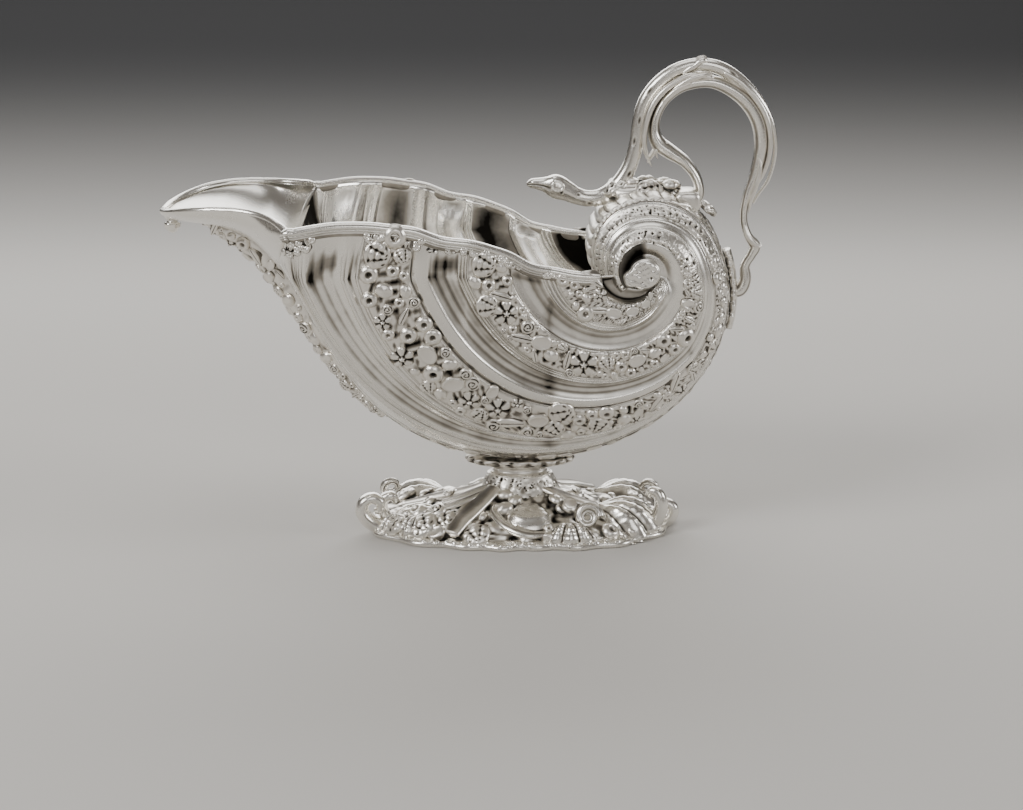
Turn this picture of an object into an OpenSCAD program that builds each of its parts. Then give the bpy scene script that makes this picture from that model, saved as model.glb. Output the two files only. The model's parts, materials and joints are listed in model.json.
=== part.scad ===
// Silver sauce boat in the form of a nautilus shell, on a cast rockwork foot, with a serpent handle.
// Millimetres. +Z up, +X towards the handle, -X towards the pouring spout.
// The origin is the middle of the foot's flat underside, on the axis of the stem.
// "near" is the -Y side of the boat, "far" is the +Y side.

/* [Overall] */
// Length from the spout tip to the back of the handle
overall_length = 212.8; // [180:0.2:260]
// Width across the mouth at its widest
mouth_width = 103.2; // [84:0.2:130]
// Height from the table to the top of the handle
overall_height = 166.5; // [140:0.5:200]

/* [Hull] */
// Thickness of the hull's sheet
wall = 1.2; // [0.9:0.1:1.8]
// Depth of the plain flutes between the ornament bands
flute_depth = 2.0; // [1:0.1:3]
// How far the ornament bands stand off the sheet
band_height = 1.3; // [0.8:0.1:2.2]
// Thickness of the moulded wire round the mouth
rim_wire = 3.2; // [2.4:0.1:4.2]
// Diameter of the eye at the middle of each volute
eye_diameter = 10.2; // [8.4:0.1:11.6]

/* [Handle] */
// Width of the strap at the lower scroll
strap_width = 9.5; // [7:0.1:12]
// Thickness of the strap
strap_thickness = 4.6; // [3.6:0.1:6]
// Thickness of the serpent's body at its thickest
serpent_thickness = 5.6; // [4.4:0.1:7]

/* [Stem and foot] */
// Length of the foot along the boat
foot_length = 116; // [100:1:140]
// Width of the foot across the boat
foot_width = 76; // [64:1:92]
// Thickness of the foot's bottom plate
plate_thickness = 3; // [2.2:0.1:4]
// Length of the oval stem along the boat
stem_length = 19.5; // [16:0.5:24]

/* [Hidden] */
kx = overall_length/212.8;
ky = mouth_width/103.2;
kz = overall_height/166.5;
fx = foot_length/116;
fy = foot_width/76;
ax = 41;               // volute axis, before the overall sizes are applied
az = 98.2;
r_in = eye_diameter/2 - 0.2;   // the sheet's inner edge runs just under the eye
SILVER = [0.80, 0.79, 0.77];
SILVER_DARK = [0.66, 0.65, 0.63];

// The spiral's outer radius every 45 degrees, starting level with the axis at the front.
keel_r = [131, 96.3, 63.2, 41.3, 29, 24.6, 21.7, 19.3, 16.6, 14.5];
// Lines that run along the shell: 0 keel, 1 keel band's edge, 2 front corner, 3 first ridge,
// 4-5 outer band, 6-7 middle band, 8-9 inner band, 10 inner edge.
rim_rho  = [1, .992, .90, .833, .685, .57, .425, .314, .189, .088, .056];
mid_rho  = [1, .97, .92, .893, .798, .588, .413, .321, .235, .13, .012];
coil_rho = [1, .97, .94, .91, .87, .745, .545, .33, .08, .015, 0];
rim_half = [0, .55, .985, 1, 1, 1, 1, 1, 1, 1, 1];
// The mouth's edge rises and falls from band to band, so its angles come at half lines.
rim_ang  = [1.5, .9, 0, -3.6, -7.3, -7.85, -8.6, -10, -11, -11.4, -11.7, -10.6, -10.95, -10.1, -8.4, -3.9, -2, .7, 2.4, 2.95, 3.4];
half_width = [[-95, 51.7], [-77, 51.6], [-46, 49.5], [-18, 46.4], [10, 40.8], [80, 40.3]];
coil_end = 402;

function clamp(x, a = 0, b = 1) = min(b, max(a, x));
function smooth(x) = let (t = clamp(x)) t*t*(3 - 2*t);
function unit(v) = let (n = norm(v)) n > 1e-9 ? v/n : [0, 0, 1];
function flat(a) = [for (r = a) for (p = r) p];
function total(v) = v*[for (x = v) 1];
// Smooth curve through evenly spaced keys.
function through(k, u) =
    let (n = len(k), v = clamp(u, 0, n - 1), i = min(floor(v), n - 2), f = v - i,
         p1 = k[i], p2 = k[i + 1],
         p0 = i > 0 ? k[i - 1] : 2*p1 - p2,
         p3 = i < n - 2 ? k[i + 2] : 2*p2 - p1)
    0.5*(2*p1 + (p2 - p0)*f + (2*p0 - 5*p1 + 4*p2 - p3)*f*f + (3*p1 - p0 - 3*p2 + p3)*f*f*f);
log_keel = [for (r = keel_r) ln(r)];

// A point of the near half of the shell: b is the line's number, a the angle round the spiral.
function shell_point(b, a) =
    let (R = exp(through(log_keel, a/45)),
         t = clamp((a + 14)/134), g = smooth((a + 12)/62),
         rho = clamp((1 - t)*(1 - t)*through(rim_rho, b) + 2*t*(1 - t)*through(mid_rho, b) + t*t*through(coil_rho, b)),
         e = pow(max(0, 1 - pow(rho, 2.1)), 1/2.1),
         h = clamp(through(rim_half, b))*(1 - g) + e*g,
         r = (R - r_in)*rho)
    // The inner edge stays round whatever the overall sizes, so that the eye always covers it.
    [ax*kx - (r_in + r*kx)*cos(a), -lookup(ax - (r_in + r)*cos(a), half_width)*h*ky, az*kz - (r_in + r*kz)*sin(a)];

// Relief of the sheet: hollow flutes between the bands, shallower towards the coil.
function flute(b, a) =
    let (f = 0.3 + 0.7*(1 - smooth((a - 60)/180)),
         t = b - floor(b), k = floor(b))
    -flute_depth*f*(k == 3 || k == 5 || k == 7 ? pow(sin(180*t), 0.8) : k == 9 ? 0.5*sin(180*t) : 0);

lines = [0, .5, 1, 1.5, 2, 2.5, 3, 3.2, 3.5, 3.8, 4, 4.33, 4.67, 5, 5.2, 5.5, 5.8, 6, 6.33, 6.67, 7,
         7.25, 7.5, 7.75, 8, 8.5, 9, 9.5, 10];
nb = len(lines);
na = 40;
function station(i, b) = let (a0 = through(rim_ang, 2*b)) a0 + (coil_end - a0)*pow(i/na, 1.12);
grid = [for (i = [0:na]) [for (b = lines) shell_point(b, station(i, b))]];
function gnorm(i, j) =
    let (u = grid[min(na, i + 1)][j] - grid[max(0, i - 1)][j],
         v = grid[i][min(nb - 1, j + 1)] - grid[i][max(0, j - 1)],
         n = unit(cross(u, v)))
    j == 0 ? unit([n[0], 0, n[2]]) : n;
normals = [for (i = [0:na]) [for (j = [0:nb - 1]) gnorm(i, j)]];
// The normal's sign: outwards at the keel is away from the axis.
out = (grid[4][0] - [ax*kx, 0, az*kz])*normals[4][0] > 0 ? 1 : -1;
function off(i, j, d) = grid[i][j] + out*normals[i][j]*(d + flute(lines[j], station(i, lines[j])));
function mir(p) = [p[0], -p[1], p[2]];

module poly(pts, faces) {
    v = total([for (f = faces) pts[f[0]]*cross(pts[f[1]], pts[f[2]])]);
    polyhedron(pts, v > 0 ? [for (f = faces) [f[2], f[1], f[0]]] : faces, convexity = 12);
}
// A closed skin through rings of an even number of points. Points j and m-1-j face each other.
module skin(rings) {
    m = len(rings[0]);
    n = len(rings);
    side = [for (i = [0:n - 2]) for (j = [0:m - 1])
        let (a = i*m + j, b = i*m + (j + 1)%m) each [[a, b, b + m], [a, b + m, a + m]]];
    cap0 = [for (j = [0:m/2 - 2]) each [[j, m - 1 - j, m - 2 - j], [j, m - 2 - j, j + 1]]];
    e = (n - 1)*m;
    cap1 = [for (j = [0:m/2 - 2]) each [[e + j, e + m - 2 - j, e + m - 1 - j], [e + j, e + j + 1, e + m - 2 - j]]];
    poly(flat(rings), concat(side, cap0, cap1));
}
// A ring round a point p, with half sizes u and v along the directions eu and ev.
function ring(p, eu, ev, u, v, m = 10) =
    [for (k = [0:m - 1]) let (t = 360*(k + 0.5)/m) p + eu*(u*cos(t)) + ev*(v*sin(t))];
// A bar along a path in the X-Z plane; keys are [x, z, half width, half thickness, y].
module bar(keys, steps, m = 10) {
    n = len(keys) - 1;
    c = [for (i = [0:steps]) through(keys, n*i/steps)];
    p = [for (q = c) [q[0]*kx, q[4], q[1]*kz]];
    skin([for (i = [0:steps])
        let (t = unit(p[min(steps, i + 1)] - p[max(0, i - 1)]), w = unit(cross(t, [0, 1, 0])))
        ring(p[i], [0, 1, 0], w, c[i][2], c[i][3], m)]);
}

function halves(near) = near ? 1 : -1;
function side_of(p, near) = near ? p : mir(p);

module sheet(near) {
    skin([for (i = [0:na]) concat(
        [for (j = [0:nb - 1]) side_of(off(i, j, 0), near)],
        [for (j = [nb - 1:-1:0]) side_of(off(i, j, -wall), near)])]);
}
// An ornament band on the sheet between two of its lines, with a lumpy top.
module band(j0, j1, i0, i1, seed, near) {
    h = rands(0.55, 1.35, (na + 1)*nb, seed);
    skin([for (i = [i0:i1]) concat(
        [for (j = [j0:j1]) side_of(off(i, j, band_height*(j == j0 || j == j1 ? 0.6 : h[i*nb + j])), near)],
        [for (j = [j1:-1:j0]) side_of(off(i, j, -0.4*wall), near)])]);
}
// An ornament band that straddles the keel.
module keel_strip(i0, i1, seed, j1 = 2, d0 = 0, d1 = 1) {
    h = rands(0.6, 1.4, (na + 1)*(2*j1 + 1), seed);
    top = function (i, j) d0 + d1*band_height*(abs(j) == j1 ? 0.6 : 1.1*h[i*(2*j1 + 1) + j + j1]);
    skin([for (i = [i0:i1]) concat(
        [for (j = [-j1:j1]) side_of(off(i, abs(j), top(i, j)), j <= 0)],
        [for (j = [j1:-1:-j1]) side_of(off(i, abs(j), d0 - 0.4*wall), j <= 0)])]);
}

module hull_near() color(SILVER) sheet(true);
module hull_far() color(SILVER) sheet(false);

module keel_band_front() color(SILVER_DARK) keel_strip(0, 16, 11);
module keel_band_back() color(SILVER_DARK) keel_strip(16, 38, 12);

module band_1_near() color(SILVER_DARK) band(10, 13, 0, 39, 21, true);
module band_1_far() color(SILVER_DARK) band(10, 13, 0, 39, 21, false);
module band_2_near() color(SILVER_DARK) band(17, 20, 0, 39, 22, true);
module band_2_far() color(SILVER_DARK) band(17, 20, 0, 39, 22, false);
module band_3_near() color(SILVER_DARK) band(24, 26, 0, 15, 23, true);
module band_3_far() color(SILVER_DARK) band(24, 26, 0, 15, 23, false);

// The moulded wire that stiffens the mouth, from the front corner to the volute.
module rim_wire_of(near) {
    k = [for (j = [4:nb - 2]) j];
    p = [for (j = k) side_of(off(0, j, -wall/2 - flute(lines[j], station(0, lines[j]))), near)];
    n = len(p) - 1;
    skin([for (i = [0:n])
        let (t = unit(p[min(n, i + 1)] - p[max(0, i - 1)]), w = unit(cross(t, [0, 0, 1])), u = cross(w, t))
        ring(p[i] - u*rim_wire*0.15, w, u, rim_wire*0.52, rim_wire*0.5, 10)]);
}
module rim_wire_near() color(SILVER) rim_wire_of(true);
module rim_wire_far() color(SILVER) rim_wire_of(false);

// The spout: a wide scoop from the hull's front edge to the lip.
spout_edge = [[-124.3, 113.2, 4], [-121.3, 114.4, 15], [-113.5, 117.0, 27], [-106.2, 117.9, 31.5],
              [-92.5, 118.1, 35], [-84.5, 117.2, 39.5], [-78.6, 115.6, 48], [-76.6, 114.2, 51.4]];
spout_keel = [[-124.2, 111.2], [-121.5, 109.4], [-117, 108.2], [-110.5, 107.2], [-102.5, 104.2],
              [-95.6, 101], [-91.6, 97.4], [-89.4, 93.2]];
spout_wall = 1.7*wall;
module spout() color(SILVER) {
    ns = 14;
    ne = 16;
    g = [for (i = [0:ns]) [for (j = [-ne/2:ne/2])
        let (u = 7*i/ns, e = through(spout_edge, u), k = through(spout_keel, u), t = 90*abs(j)/(ne/2),
             s = sin(t), c = 1 - cos(t))
        [(k[0] + (e[0] - k[0])*c)*kx, sign(j)*e[2]*s*ky, (k[1] + (e[1] - k[1])*c)*kz]]];
    n = [for (i = [0:ns]) [for (j = [0:ne])
        unit(cross(g[i][min(ne, j + 1)] - g[i][max(0, j - 1)], g[min(ns, i + 1)][j] - g[max(0, i - 1)][j]))]];
    s = n[7][8][2] > 0 ? 1 : -1;
    skin([for (i = [0:ns]) concat(g[i], [for (j = [ne:-1:0]) g[i][j] + s*n[i][j]*spout_wall])]);
}
module spout_drop() color(SILVER)
    translate([-121*kx, 0, 109.6*kz]) rotate_extrude()
        polygon([[0, 1.4], [1.7, 1.4], [2.2, 0.2], [1.5, -0.6], [2.3, -1.6], [2.1, -2.9], [0.9, -4.2], [0, -4.6]]);

// The round eye at the middle of each volute.
module eye(near) {
    y0 = 40.3*ky - 1.6*wall;
    translate([ax*kx, near ? -y0 : y0, az*kz]) rotate([near ? 90 : -90, 0, 0]) {
        cylinder(d = eye_diameter, h = 1.6*wall + 1.0, $fn = 48);
        translate([0, 0, 1.6*wall + 1.0]) cylinder(d = eye_diameter*0.8, h = 0.5, $fn = 48);
    }
}
module volute_eye_near() color(SILVER) eye(true);
module volute_eye_far() color(SILVER) eye(false);

// Handle: the strap rises in a scroll from the coil, loops over and comes down to the back.
sw = strap_width/9.5;
st = strap_thickness/4.6;
strap_keys = [for (k = [
    [57.8, 116.4, 4.4, 2.2], [62, 119, 4.7, 2.4], [60.6, 125.3, 4.75, 2.4], [54.3, 132.1, 4.75, 2.3], [47.6, 137.6, 4.7, 2.3],
    [46.2, 144.5, 4.5, 2.2], [49.7, 152.1, 4.3, 2.2], [57.5, 156.7, 4, 2.2], [66.5, 156.9, 3.7, 2.1], [76, 151.5, 3.4, 2.1],
    [81.4, 144, 3.1, 2.0], [82.9, 135.5, 2.8, 2.0], [81.2, 126.5, 2.6, 2.0], [78.2, 117, 2.4, 2.0], [77.9, 109.5, 2.4, 2.1],
    [81.2, 102.2, 2.6, 2.3], [78.4, 95.5, 2.4, 2.1], [78.3, 88.2, 2.2, 2.0], [73.5, 83.6, 2.0, 1.9]]) [k[0], k[1], k[2]*sw, k[3]*st, 0]];
module handle_strap() color(SILVER) bar(strap_keys, 62);

ss = serpent_thickness/5.6;
serpent_keys = [for (k = [
    [2.4, 122.3, 0.9, 0.8], [4.9, 122.3, 2.1, 1.8], [8.8, 122.0, 3.3, 3.1], [12.8, 121.0, 3.8, 4.0], [17, 119.1, 3.0, 3.2],
    [23.8, 117.2, 2.9, 2.9], [29.3, 119.8, 2.85, 2.85], [34, 124.8, 2.7, 2.7], [37.3, 132.5, 2.55, 2.55], [38.9, 142.5, 2.5, 2.5],
    [41.2, 151.3, 2.4, 2.4], [46.4, 158.4, 2.3, 2.3], [54, 162.6, 2.2, 2.2], [62, 163.6, 2.15, 2.15], [69, 161.4, 2.1, 2.1],
    [76.5, 155.5, 2.0, 2.0], [83.4, 148.5, 1.9, 1.9], [87.4, 141, 1.7, 1.7], [87.2, 133, 1.4, 1.4], [85.2, 125.5, 1.1, 1.1],
    [82.6, 119.5, 0.7, 0.7]]) [k[0], k[1], k[2]*ss, k[3]*ss, 0]];
module serpent() color(SILVER) bar(serpent_keys, 66);
module serpent_eyes() color(SILVER_DARK)
    for (s = [-1, 1]) translate([12.6*kx, s*3.4*ss, 121.6*kz]) sphere(r = 1.25, $fn = 20);
module handle_bud() color(SILVER)
    translate([60.4*kx, 0, 166.5*kz - 2.2]) { sphere(r = 2.2, $fn = 24); translate([0, 0, -2]) cylinder(r1 = 1.6, r2 = 1.9, h = 1.6, $fn = 24); }

// A pointed leaf of length l, curling up from its root.
module leaf(l, w, t, curl) {
    n = 6;
    skin([for (i = [0:n]) let (u = i/n, a = w*(0.25 + sin(180*pow(u, 0.8))*0.75)*(1 - 0.85*pow(u, 4)), z = curl*u*u)
        [for (k = [0:7]) let (q = 360*(k + 0.5)/8) [l*u, a*cos(q), z + t*(1 - 0.7*u)*sin(q)]]]);
}
module at(x, y, z, ry = 0, rz = 0) translate([x*kx, y, z*kz]) rotate([0, ry, rz]) children();
module handle_leaves() color(SILVER) {
    at(47.2, 0, 139, -128) leaf(9, 3.6, 1.2, 2);
    at(57, 0, 130, 45) leaf(9, 3.2, 1.1, 1.5);
    at(69, 0, 157, 152) leaf(9, 3, 1.1, -1.6);
    at(80.5, 0, 124, 112) leaf(8, 2.6, 1.0, 1.2);
    at(78, 0, 107, 58) leaf(7, 2.6, 1.0, -1.2);
}
// Leaves, coral and beads that hide the strap's root on top of the coil.
module handle_top_mount() color(SILVER_DARK) {
    at(37, 0, 119.4, 8) leaf(30*kx, 8.5, 3.0, -3.5);
    for (q = [[34, -4, 120.6, 2.2], [39, 5, 121.2, 2.6], [43.5, -5.5, 121.6, 2.8], [48, 4.5, 121.6, 2.4], [51.5, -4.5, 121, 2.8],
              [56.5, 4.5, 119.6, 2.6], [61, -3.5, 116.4, 2.6], [64.5, 2.5, 113.4, 2.2]])
        translate([q[0]*kx, q[1], q[2]*kz - 1.2]) sphere(r = q[3], $fn = 16);
}
module handle_back_plate() color(SILVER) keel_strip(20, 25, 31, 1, band_height*1.2, 0.9);
module handle_stub() color(SILVER)
    translate([70.2*kx, 0, 83.6*kz]) rotate([0, 90, 0]) cylinder(r1 = 3.0, r2 = 2.2, h = 5.5*kx, $fn = 24);

// Stem, all ovals; half lengths in X come from stem_length.
sl = stem_length/19.5;
function oval(z, a, b, lobes = 0, depth = 0, m = 28) =
    [for (k = [0:m - 1]) let (t = 360*(k + 0.5)/m, r = 1 + depth*cos(lobes*t)) [a*r*cos(t), b*r*sin(t), z]];
module hull_flange() color(SILVER) skin([oval(21.4*kz, 12*sl, 7.2*sl), oval(22.5*kz, 17.4*sl, 9.6*sl, 14, .05),
    oval(24.1*kz, 19*sl, 10.6*sl, 14, .05), oval(25.3*kz, 18*sl, 10.4*sl)]);
module stem_neck() color(SILVER) skin([oval(18.4*kz, 10.4*sl, 7.2*sl), oval(19.8*kz, 9.7*sl, 6.2*sl),
    oval(21*kz, 9.7*sl, 6.2*sl), oval(22.2*kz, 10.8*sl, 6.9*sl)]);
module stem_knop() color(SILVER_DARK) skin([oval(9*kz, 12*sl, 10*sl), oval(12*kz, 14*sl, 11*sl, 7, .06),
    oval(15*kz, 13*sl, 9.6*sl, 7, .06), oval(17.6*kz, 12.2*sl, 8.8*sl, 7, .04), oval(19.4*kz, 10*sl, 6.8*sl)]);

// Foot: a flat plate, a rocky mound and cast sea ornaments round it.
module foot_plate() color(SILVER) linear_extrude(plate_thickness) {
    for (s = [-1, 1]) {
        translate([s*18*fx, 0]) circle(r = 30*fy, $fn = 64);
        translate([s*33*fx, -4*fy]) circle(r = 20*fy, $fn = 64);
        translate([s*33*fx, 6*fy]) circle(r = 18*fy, $fn = 64);
    }
    circle(r = 33.5*fy, $fn = 64);
}
mound_z = 2*plate_thickness/3;
module foot_mound() color(SILVER_DARK) skin([oval(mound_z, 51*fx, 31*fy, 7, .03, 40), oval(4.4*kz, 49*fx, 30*fy, 7, .04, 40),
    oval(6.2*kz, 40*fx, 26*fy, 5, .06, 40), oval(8.6*kz, 28*fx, 20*fy, 5, .06, 40), oval(11.2*kz, 18*fx, 14*fy, 4, .05, 40),
    oval(13*kz, 12*fx, 10*fy, 0, 0, 40)]);
// A ribbed shell lying on its open side: length l, width w, height h.
module scallop(l, w, h, ribs = 5, n = 6, c = 10) {
    skin([for (i = [0:n]) let (u = i/n, a = w/2*(0.16 + 0.84*sin(90*pow(u, 0.8)))*(1 - 0.25*pow(u, 6)), z = h*(0.25 + 0.75*sin(180*min(1, 0.12 + 0.8*u))))
        concat([for (k = [0:c]) let (v = 2*k/c - 1)
                [l*u + 0.16*l*u*u*(1 - v*v), a*v, z*sqrt(max(0, 1 - v*v*0.96))*(1 + 0.1*cos(180*ribs*v))]],
               [for (k = [c:-1:0]) let (v = 2*k/c - 1) [l*u + 0.12*l*u*u*(1 - v*v), a*v, -1.5]])]);
}
// Puts a piece on the foot: rz turns it, ry lifts its front.
module on_foot(x, y, z, rz, ry = 0) translate([x*fx, y*fy, z]) rotate([0, 0, rz]) rotate([0, ry, 0]) children();

module curl(r, t, turn) rotate([90, 0, 0]) rotate([0, 0, -30]) rotate_extrude(angle = turn, $fn = 40) translate([r, 0]) circle(r = t, $fn = 20);
module foot_shell_left() color(SILVER) {
    on_foot(-33, -9, 4.6, 186, 4) scallop(24, 27, 9.5, 4);
    on_foot(-50, -11, 8.6, 10) curl(4.6, 2.1, 250);
}
module foot_shell_right() color(SILVER) {
    on_foot(30, -12, 4.6, -14, 4) scallop(25, 28, 9, 5);
    on_foot(49.5, -15, 9.4, 170) curl(4.6, 2.0, 250);
}
module foot_shell_back_left() color(SILVER) on_foot(-27, 15, 4.4, 150, 4) scallop(25, 25, 9, 5);
module foot_shell_back_right() color(SILVER) on_foot(28, 15, 4.4, 26, 4) scallop(25, 25, 9, 5);
module foot_clam() color(SILVER) on_foot(18, -25, 4, -66, 4) scallop(14, 22, 7.5, 3);
module foot_mussel() color(SILVER) {
    on_foot(1, -13, 8.6, -76, 14) scallop(23, 24, 6.5, 0);
    on_foot(-2, 13, 8.6, 104, 14) scallop(23, 24, 6.5, 0);
}
// A coiled snail.
module foot_snail() color(SILVER)
    translate([24*fx, -20*fy, 10.2]) rotate([25, 0, 0]) skin([for (i = [0:26]) let (a = 26*i, r = 5.2*pow(0.82, a/60), p = [r*cos(a), r*sin(a), 0.9*i/6])
        ring(p, [cos(a), sin(a), 0], [0, 0, 1], max(0.35, r*0.42), max(0.35, r*0.42), 8)]);
// Bands of kelp from the stem down to the plate.
module kelp(pts, w, t) {
    n = 14;
    k = len(pts) - 1;
    p = [for (i = [0:n]) through(pts, k*i/n)];
    skin([for (i = [0:n]) let (d = unit(p[min(n, i + 1)] - p[max(0, i - 1)]), s = unit(cross([0, 0, 1], d)), u = cross(d, s))
        ring(p[i], s, u, w*(0.7 + 0.3*sin(180*i/n)), t, 8)]);
}
module foot_kelp() color(SILVER) {
    kelp([[-5*fx, -7*fy, 15*kz], [-10*fx, -15*fy, 10.6*kz], [-19*fx, -23*fy, 6.6*kz], [-27*fx, -31*fy, 4]], 5, 1.5);
    kelp([[8*fx, -5*fy, 14.6*kz], [16*fx, -9*fy, 11.6*kz], [24*fx, -9*fy, 8.4*kz], [31*fx, -6*fy, 6.2]], 3.4, 1.4);
    kelp([[-9*fx, 3*fy, 14.4*kz], [-18*fx, 4*fy, 9.4*kz], [-30*fx, 2*fy, 7.4*kz], [-42*fx, 4*fy, 5]], 4.2, 1.5);
    kelp([[6*fx, 7*fy, 14.6*kz], [12*fx, 15*fy, 9.4*kz], [19*fx, 24*fy, 6.8*kz], [26*fx, 31*fy, 4]], 4.6, 1.5);
}
module foot_small_shells() color(SILVER) {
    for (q = [[-24, -20, 20, 9], [-37, -24, 60, 10], [-12, -29, 95, 9], [39, -3, -30, 9], [8, -31, 80, 8],
              [-14, 29, -80, 9], [10, 30, -100, 9], [-42, 12, 160, 10], [43, 10, 20, 9]])
        on_foot(q[0], q[1], 4.2, q[2]) scallop(q[3], q[3], 4.2, 3, 4, 6);
    for (q = [[-18, -29, 2.6], [-6, -33, 2.2], [0, -30, 2.4], [33, -27, 2.2], [-31, -29, 2], [-3, 31, 2.4], [20, 31, 2], [-32, 25, 2.2]])
        translate([q[0]*fx, q[1]*fy, 4.4]) sphere(r = q[2], $fn = 16);
}

hull_near();
hull_far();
spout();
spout_drop();
keel_band_front();
keel_band_back();
band_1_near();
band_1_far();
band_2_near();
band_2_far();
band_3_near();
band_3_far();
rim_wire_near();
rim_wire_far();
volute_eye_near();
volute_eye_far();
handle_strap();
serpent();
serpent_eyes();
handle_bud();
handle_leaves();
handle_top_mount();
handle_back_plate();
handle_stub();
hull_flange();
stem_neck();
stem_knop();
foot_plate();
foot_mound();
foot_shell_left();
foot_shell_right();
foot_shell_back_left();
foot_shell_back_right();
foot_clam();
foot_mussel();
foot_snail();
foot_kelp();
foot_small_shells();
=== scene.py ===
# %% [markdown]
# # A silver sauce boat shaped like a nautilus shell
# The boat is sterling silver: a raised and chased hull that winds up into a volute, bands of cast
# shells soldered along it, a serpent and strap handle, and a rocky cast foot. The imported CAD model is
# loaded first. It fixes every size, and each new piece stands for one of its nodes.

# %% Load the frame
import bpy
import json
import numpy as np
from math import cos, sin, pi, radians
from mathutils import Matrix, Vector

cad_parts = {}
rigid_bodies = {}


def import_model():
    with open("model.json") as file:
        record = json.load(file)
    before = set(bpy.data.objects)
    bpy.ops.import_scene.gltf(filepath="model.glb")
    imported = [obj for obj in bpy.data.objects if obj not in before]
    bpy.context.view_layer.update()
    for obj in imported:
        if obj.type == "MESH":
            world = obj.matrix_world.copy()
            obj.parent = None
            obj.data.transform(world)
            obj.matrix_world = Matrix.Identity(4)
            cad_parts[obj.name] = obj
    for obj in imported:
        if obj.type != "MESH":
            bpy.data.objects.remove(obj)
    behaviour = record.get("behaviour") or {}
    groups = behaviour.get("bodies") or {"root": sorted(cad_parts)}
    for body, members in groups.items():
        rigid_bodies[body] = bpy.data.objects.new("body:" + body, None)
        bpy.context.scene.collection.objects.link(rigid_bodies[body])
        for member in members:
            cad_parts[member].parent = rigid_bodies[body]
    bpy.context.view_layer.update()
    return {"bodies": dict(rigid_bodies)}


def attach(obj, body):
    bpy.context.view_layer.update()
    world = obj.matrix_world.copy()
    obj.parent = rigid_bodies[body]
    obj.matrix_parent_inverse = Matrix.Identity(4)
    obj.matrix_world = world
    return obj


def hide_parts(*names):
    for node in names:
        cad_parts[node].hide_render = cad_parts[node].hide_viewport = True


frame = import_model()
BODY = list(frame["bodies"])[0]

# %% [markdown]
# Most of this object has no straight edge, so many pieces are skins: rings of points joined by faces,
# as a silversmith raises a sheet over stakes. Operators alone can't wind a sheet into a spiral, so a
# helper takes the rings. It closes both ends by joining each point to the one that faces it.
# All measures in the script are millimetres, and become metres only when a mesh is made.

# %% Helpers for meshes
MM = 0.001  # metres in a millimetre


def new_piece(name, verts, faces, tarnish_and_shade=0.0):
    """A mesh object from millimetre points; tarnish_and_shade is how dark the metal is at each point, from
    tarnish and from painted shade.
    """
    mesh = bpy.data.meshes.new(name)
    mesh.from_pydata((np.asarray(verts, float)*MM).tolist(), [], [list(map(int, f)) for f in faces])
    piece = bpy.data.objects.new(name, mesh)
    bpy.context.collection.objects.link(piece)
    dark = np.clip(np.broadcast_to(tarnish_and_shade, len(verts)), 0, 1).astype(float)
    mesh.attributes.new("tarnish_and_shade", "FLOAT", "POINT").data.foreach_set("value", dark)
    mesh.polygons.foreach_set("use_smooth", [True]*len(mesh.polygons))
    mesh.update()
    return piece


def ring_faces(n, m):
    """Faces of a skin through n rings of m points, closed at both ends."""
    i, j = np.meshgrid(np.arange(n - 1), np.arange(m), indexing="ij")
    a = i*m + j
    b = i*m + (j + 1) % m
    side = np.stack([a, b, b + m, a + m], -1).reshape(-1, 4)
    k = np.arange(m//2 - 1)
    cap = np.stack([k, m - 1 - k, m - 2 - k, k + 1], -1)
    e = (n - 1)*m
    end = np.stack([e + k, e + k + 1, e + m - 2 - k, e + m - 1 - k], -1)
    return np.concatenate([side, cap, end])


def skin(rings):
    """Points and faces of a closed skin, pointing outwards."""
    rings = np.asarray(rings, float)
    n, m = rings.shape[:2]
    verts, faces = rings.reshape(-1, 3), ring_faces(n, m)
    a, b, c, d = verts[faces].transpose(1, 0, 2)
    volume = (a*(np.cross(b, c) + np.cross(c, d))).sum()
    return verts, (faces[:, ::-1] if volume < 0 else faces)


def sheet(top, low):
    """A closed skin between an upper and a lower grid of points."""
    return skin(np.concatenate([top, low[:, ::-1]], 1))


def sheet_dark(top, low):
    """The tarnish and painted shade of such a skin, from one grid (or number) a side."""
    top, low = np.broadcast_arrays(top, low)
    return np.concatenate([top, low], 1).reshape(-1)


def merge(parts):
    """One list of points, faces and tarnish from several."""
    verts, faces, dark, n = [], [], [], 0
    for v, f, t in parts:
        verts.append(v)
        dark.append(np.broadcast_to(t, len(v)))
        faces += [[int(i) + n for i in q] for q in f]
        n += len(v)
    return np.concatenate(verts), faces, np.concatenate(dark)


def mirrored(v, f, t=0):
    """The same part on the far side."""
    return v*[1, -1, 1], [list(q)[::-1] for q in f], t


def both_sides(name, part):
    return new_piece(name + "_near", *part), new_piece(name + "_far", *mirrored(*part))


def through(keys, u):
    """A smooth curve through evenly spaced keys."""
    k = np.asarray(keys, float)
    u = np.clip(np.asarray(u, float), 0, len(k) - 1)
    i = np.minimum(u.astype(int), len(k) - 2)
    f = (u - i).reshape(u.shape + (1,)*(k.ndim - 1))
    p1, p2 = k[i], k[i + 1]
    e = (i > 0).reshape(f.shape)
    g = (i < len(k) - 2).reshape(f.shape)
    p0 = np.where(e, k[np.maximum(i - 1, 0)], 2*p1 - p2)
    p3 = np.where(g, k[np.minimum(i + 2, len(k) - 1)], 2*p2 - p1)
    return 0.5*(2*p1 + (p2 - p0)*f + (2*p0 - 5*p1 + 4*p2 - p3)*f*f + (3*p1 - p0 - 3*p2 + p3)*f**3)


def smooth(x):
    t = np.clip(x, 0, 1)
    return t*t*(3 - 2*t)


def around(m):
    """The angles of m points round a circle."""
    return (np.arange(m) + .5)*2*pi/m


def set_down(v, at, x, y, z, size=1.0):
    """Points moved to a place, with their own axes turned to x, y and z."""
    return np.asarray(at, float) + size*(v @ np.stack([x, y, z]))


def unit(v):
    return v/np.maximum(np.linalg.norm(v, axis=-1, keepdims=True), 1e-9)


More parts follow.
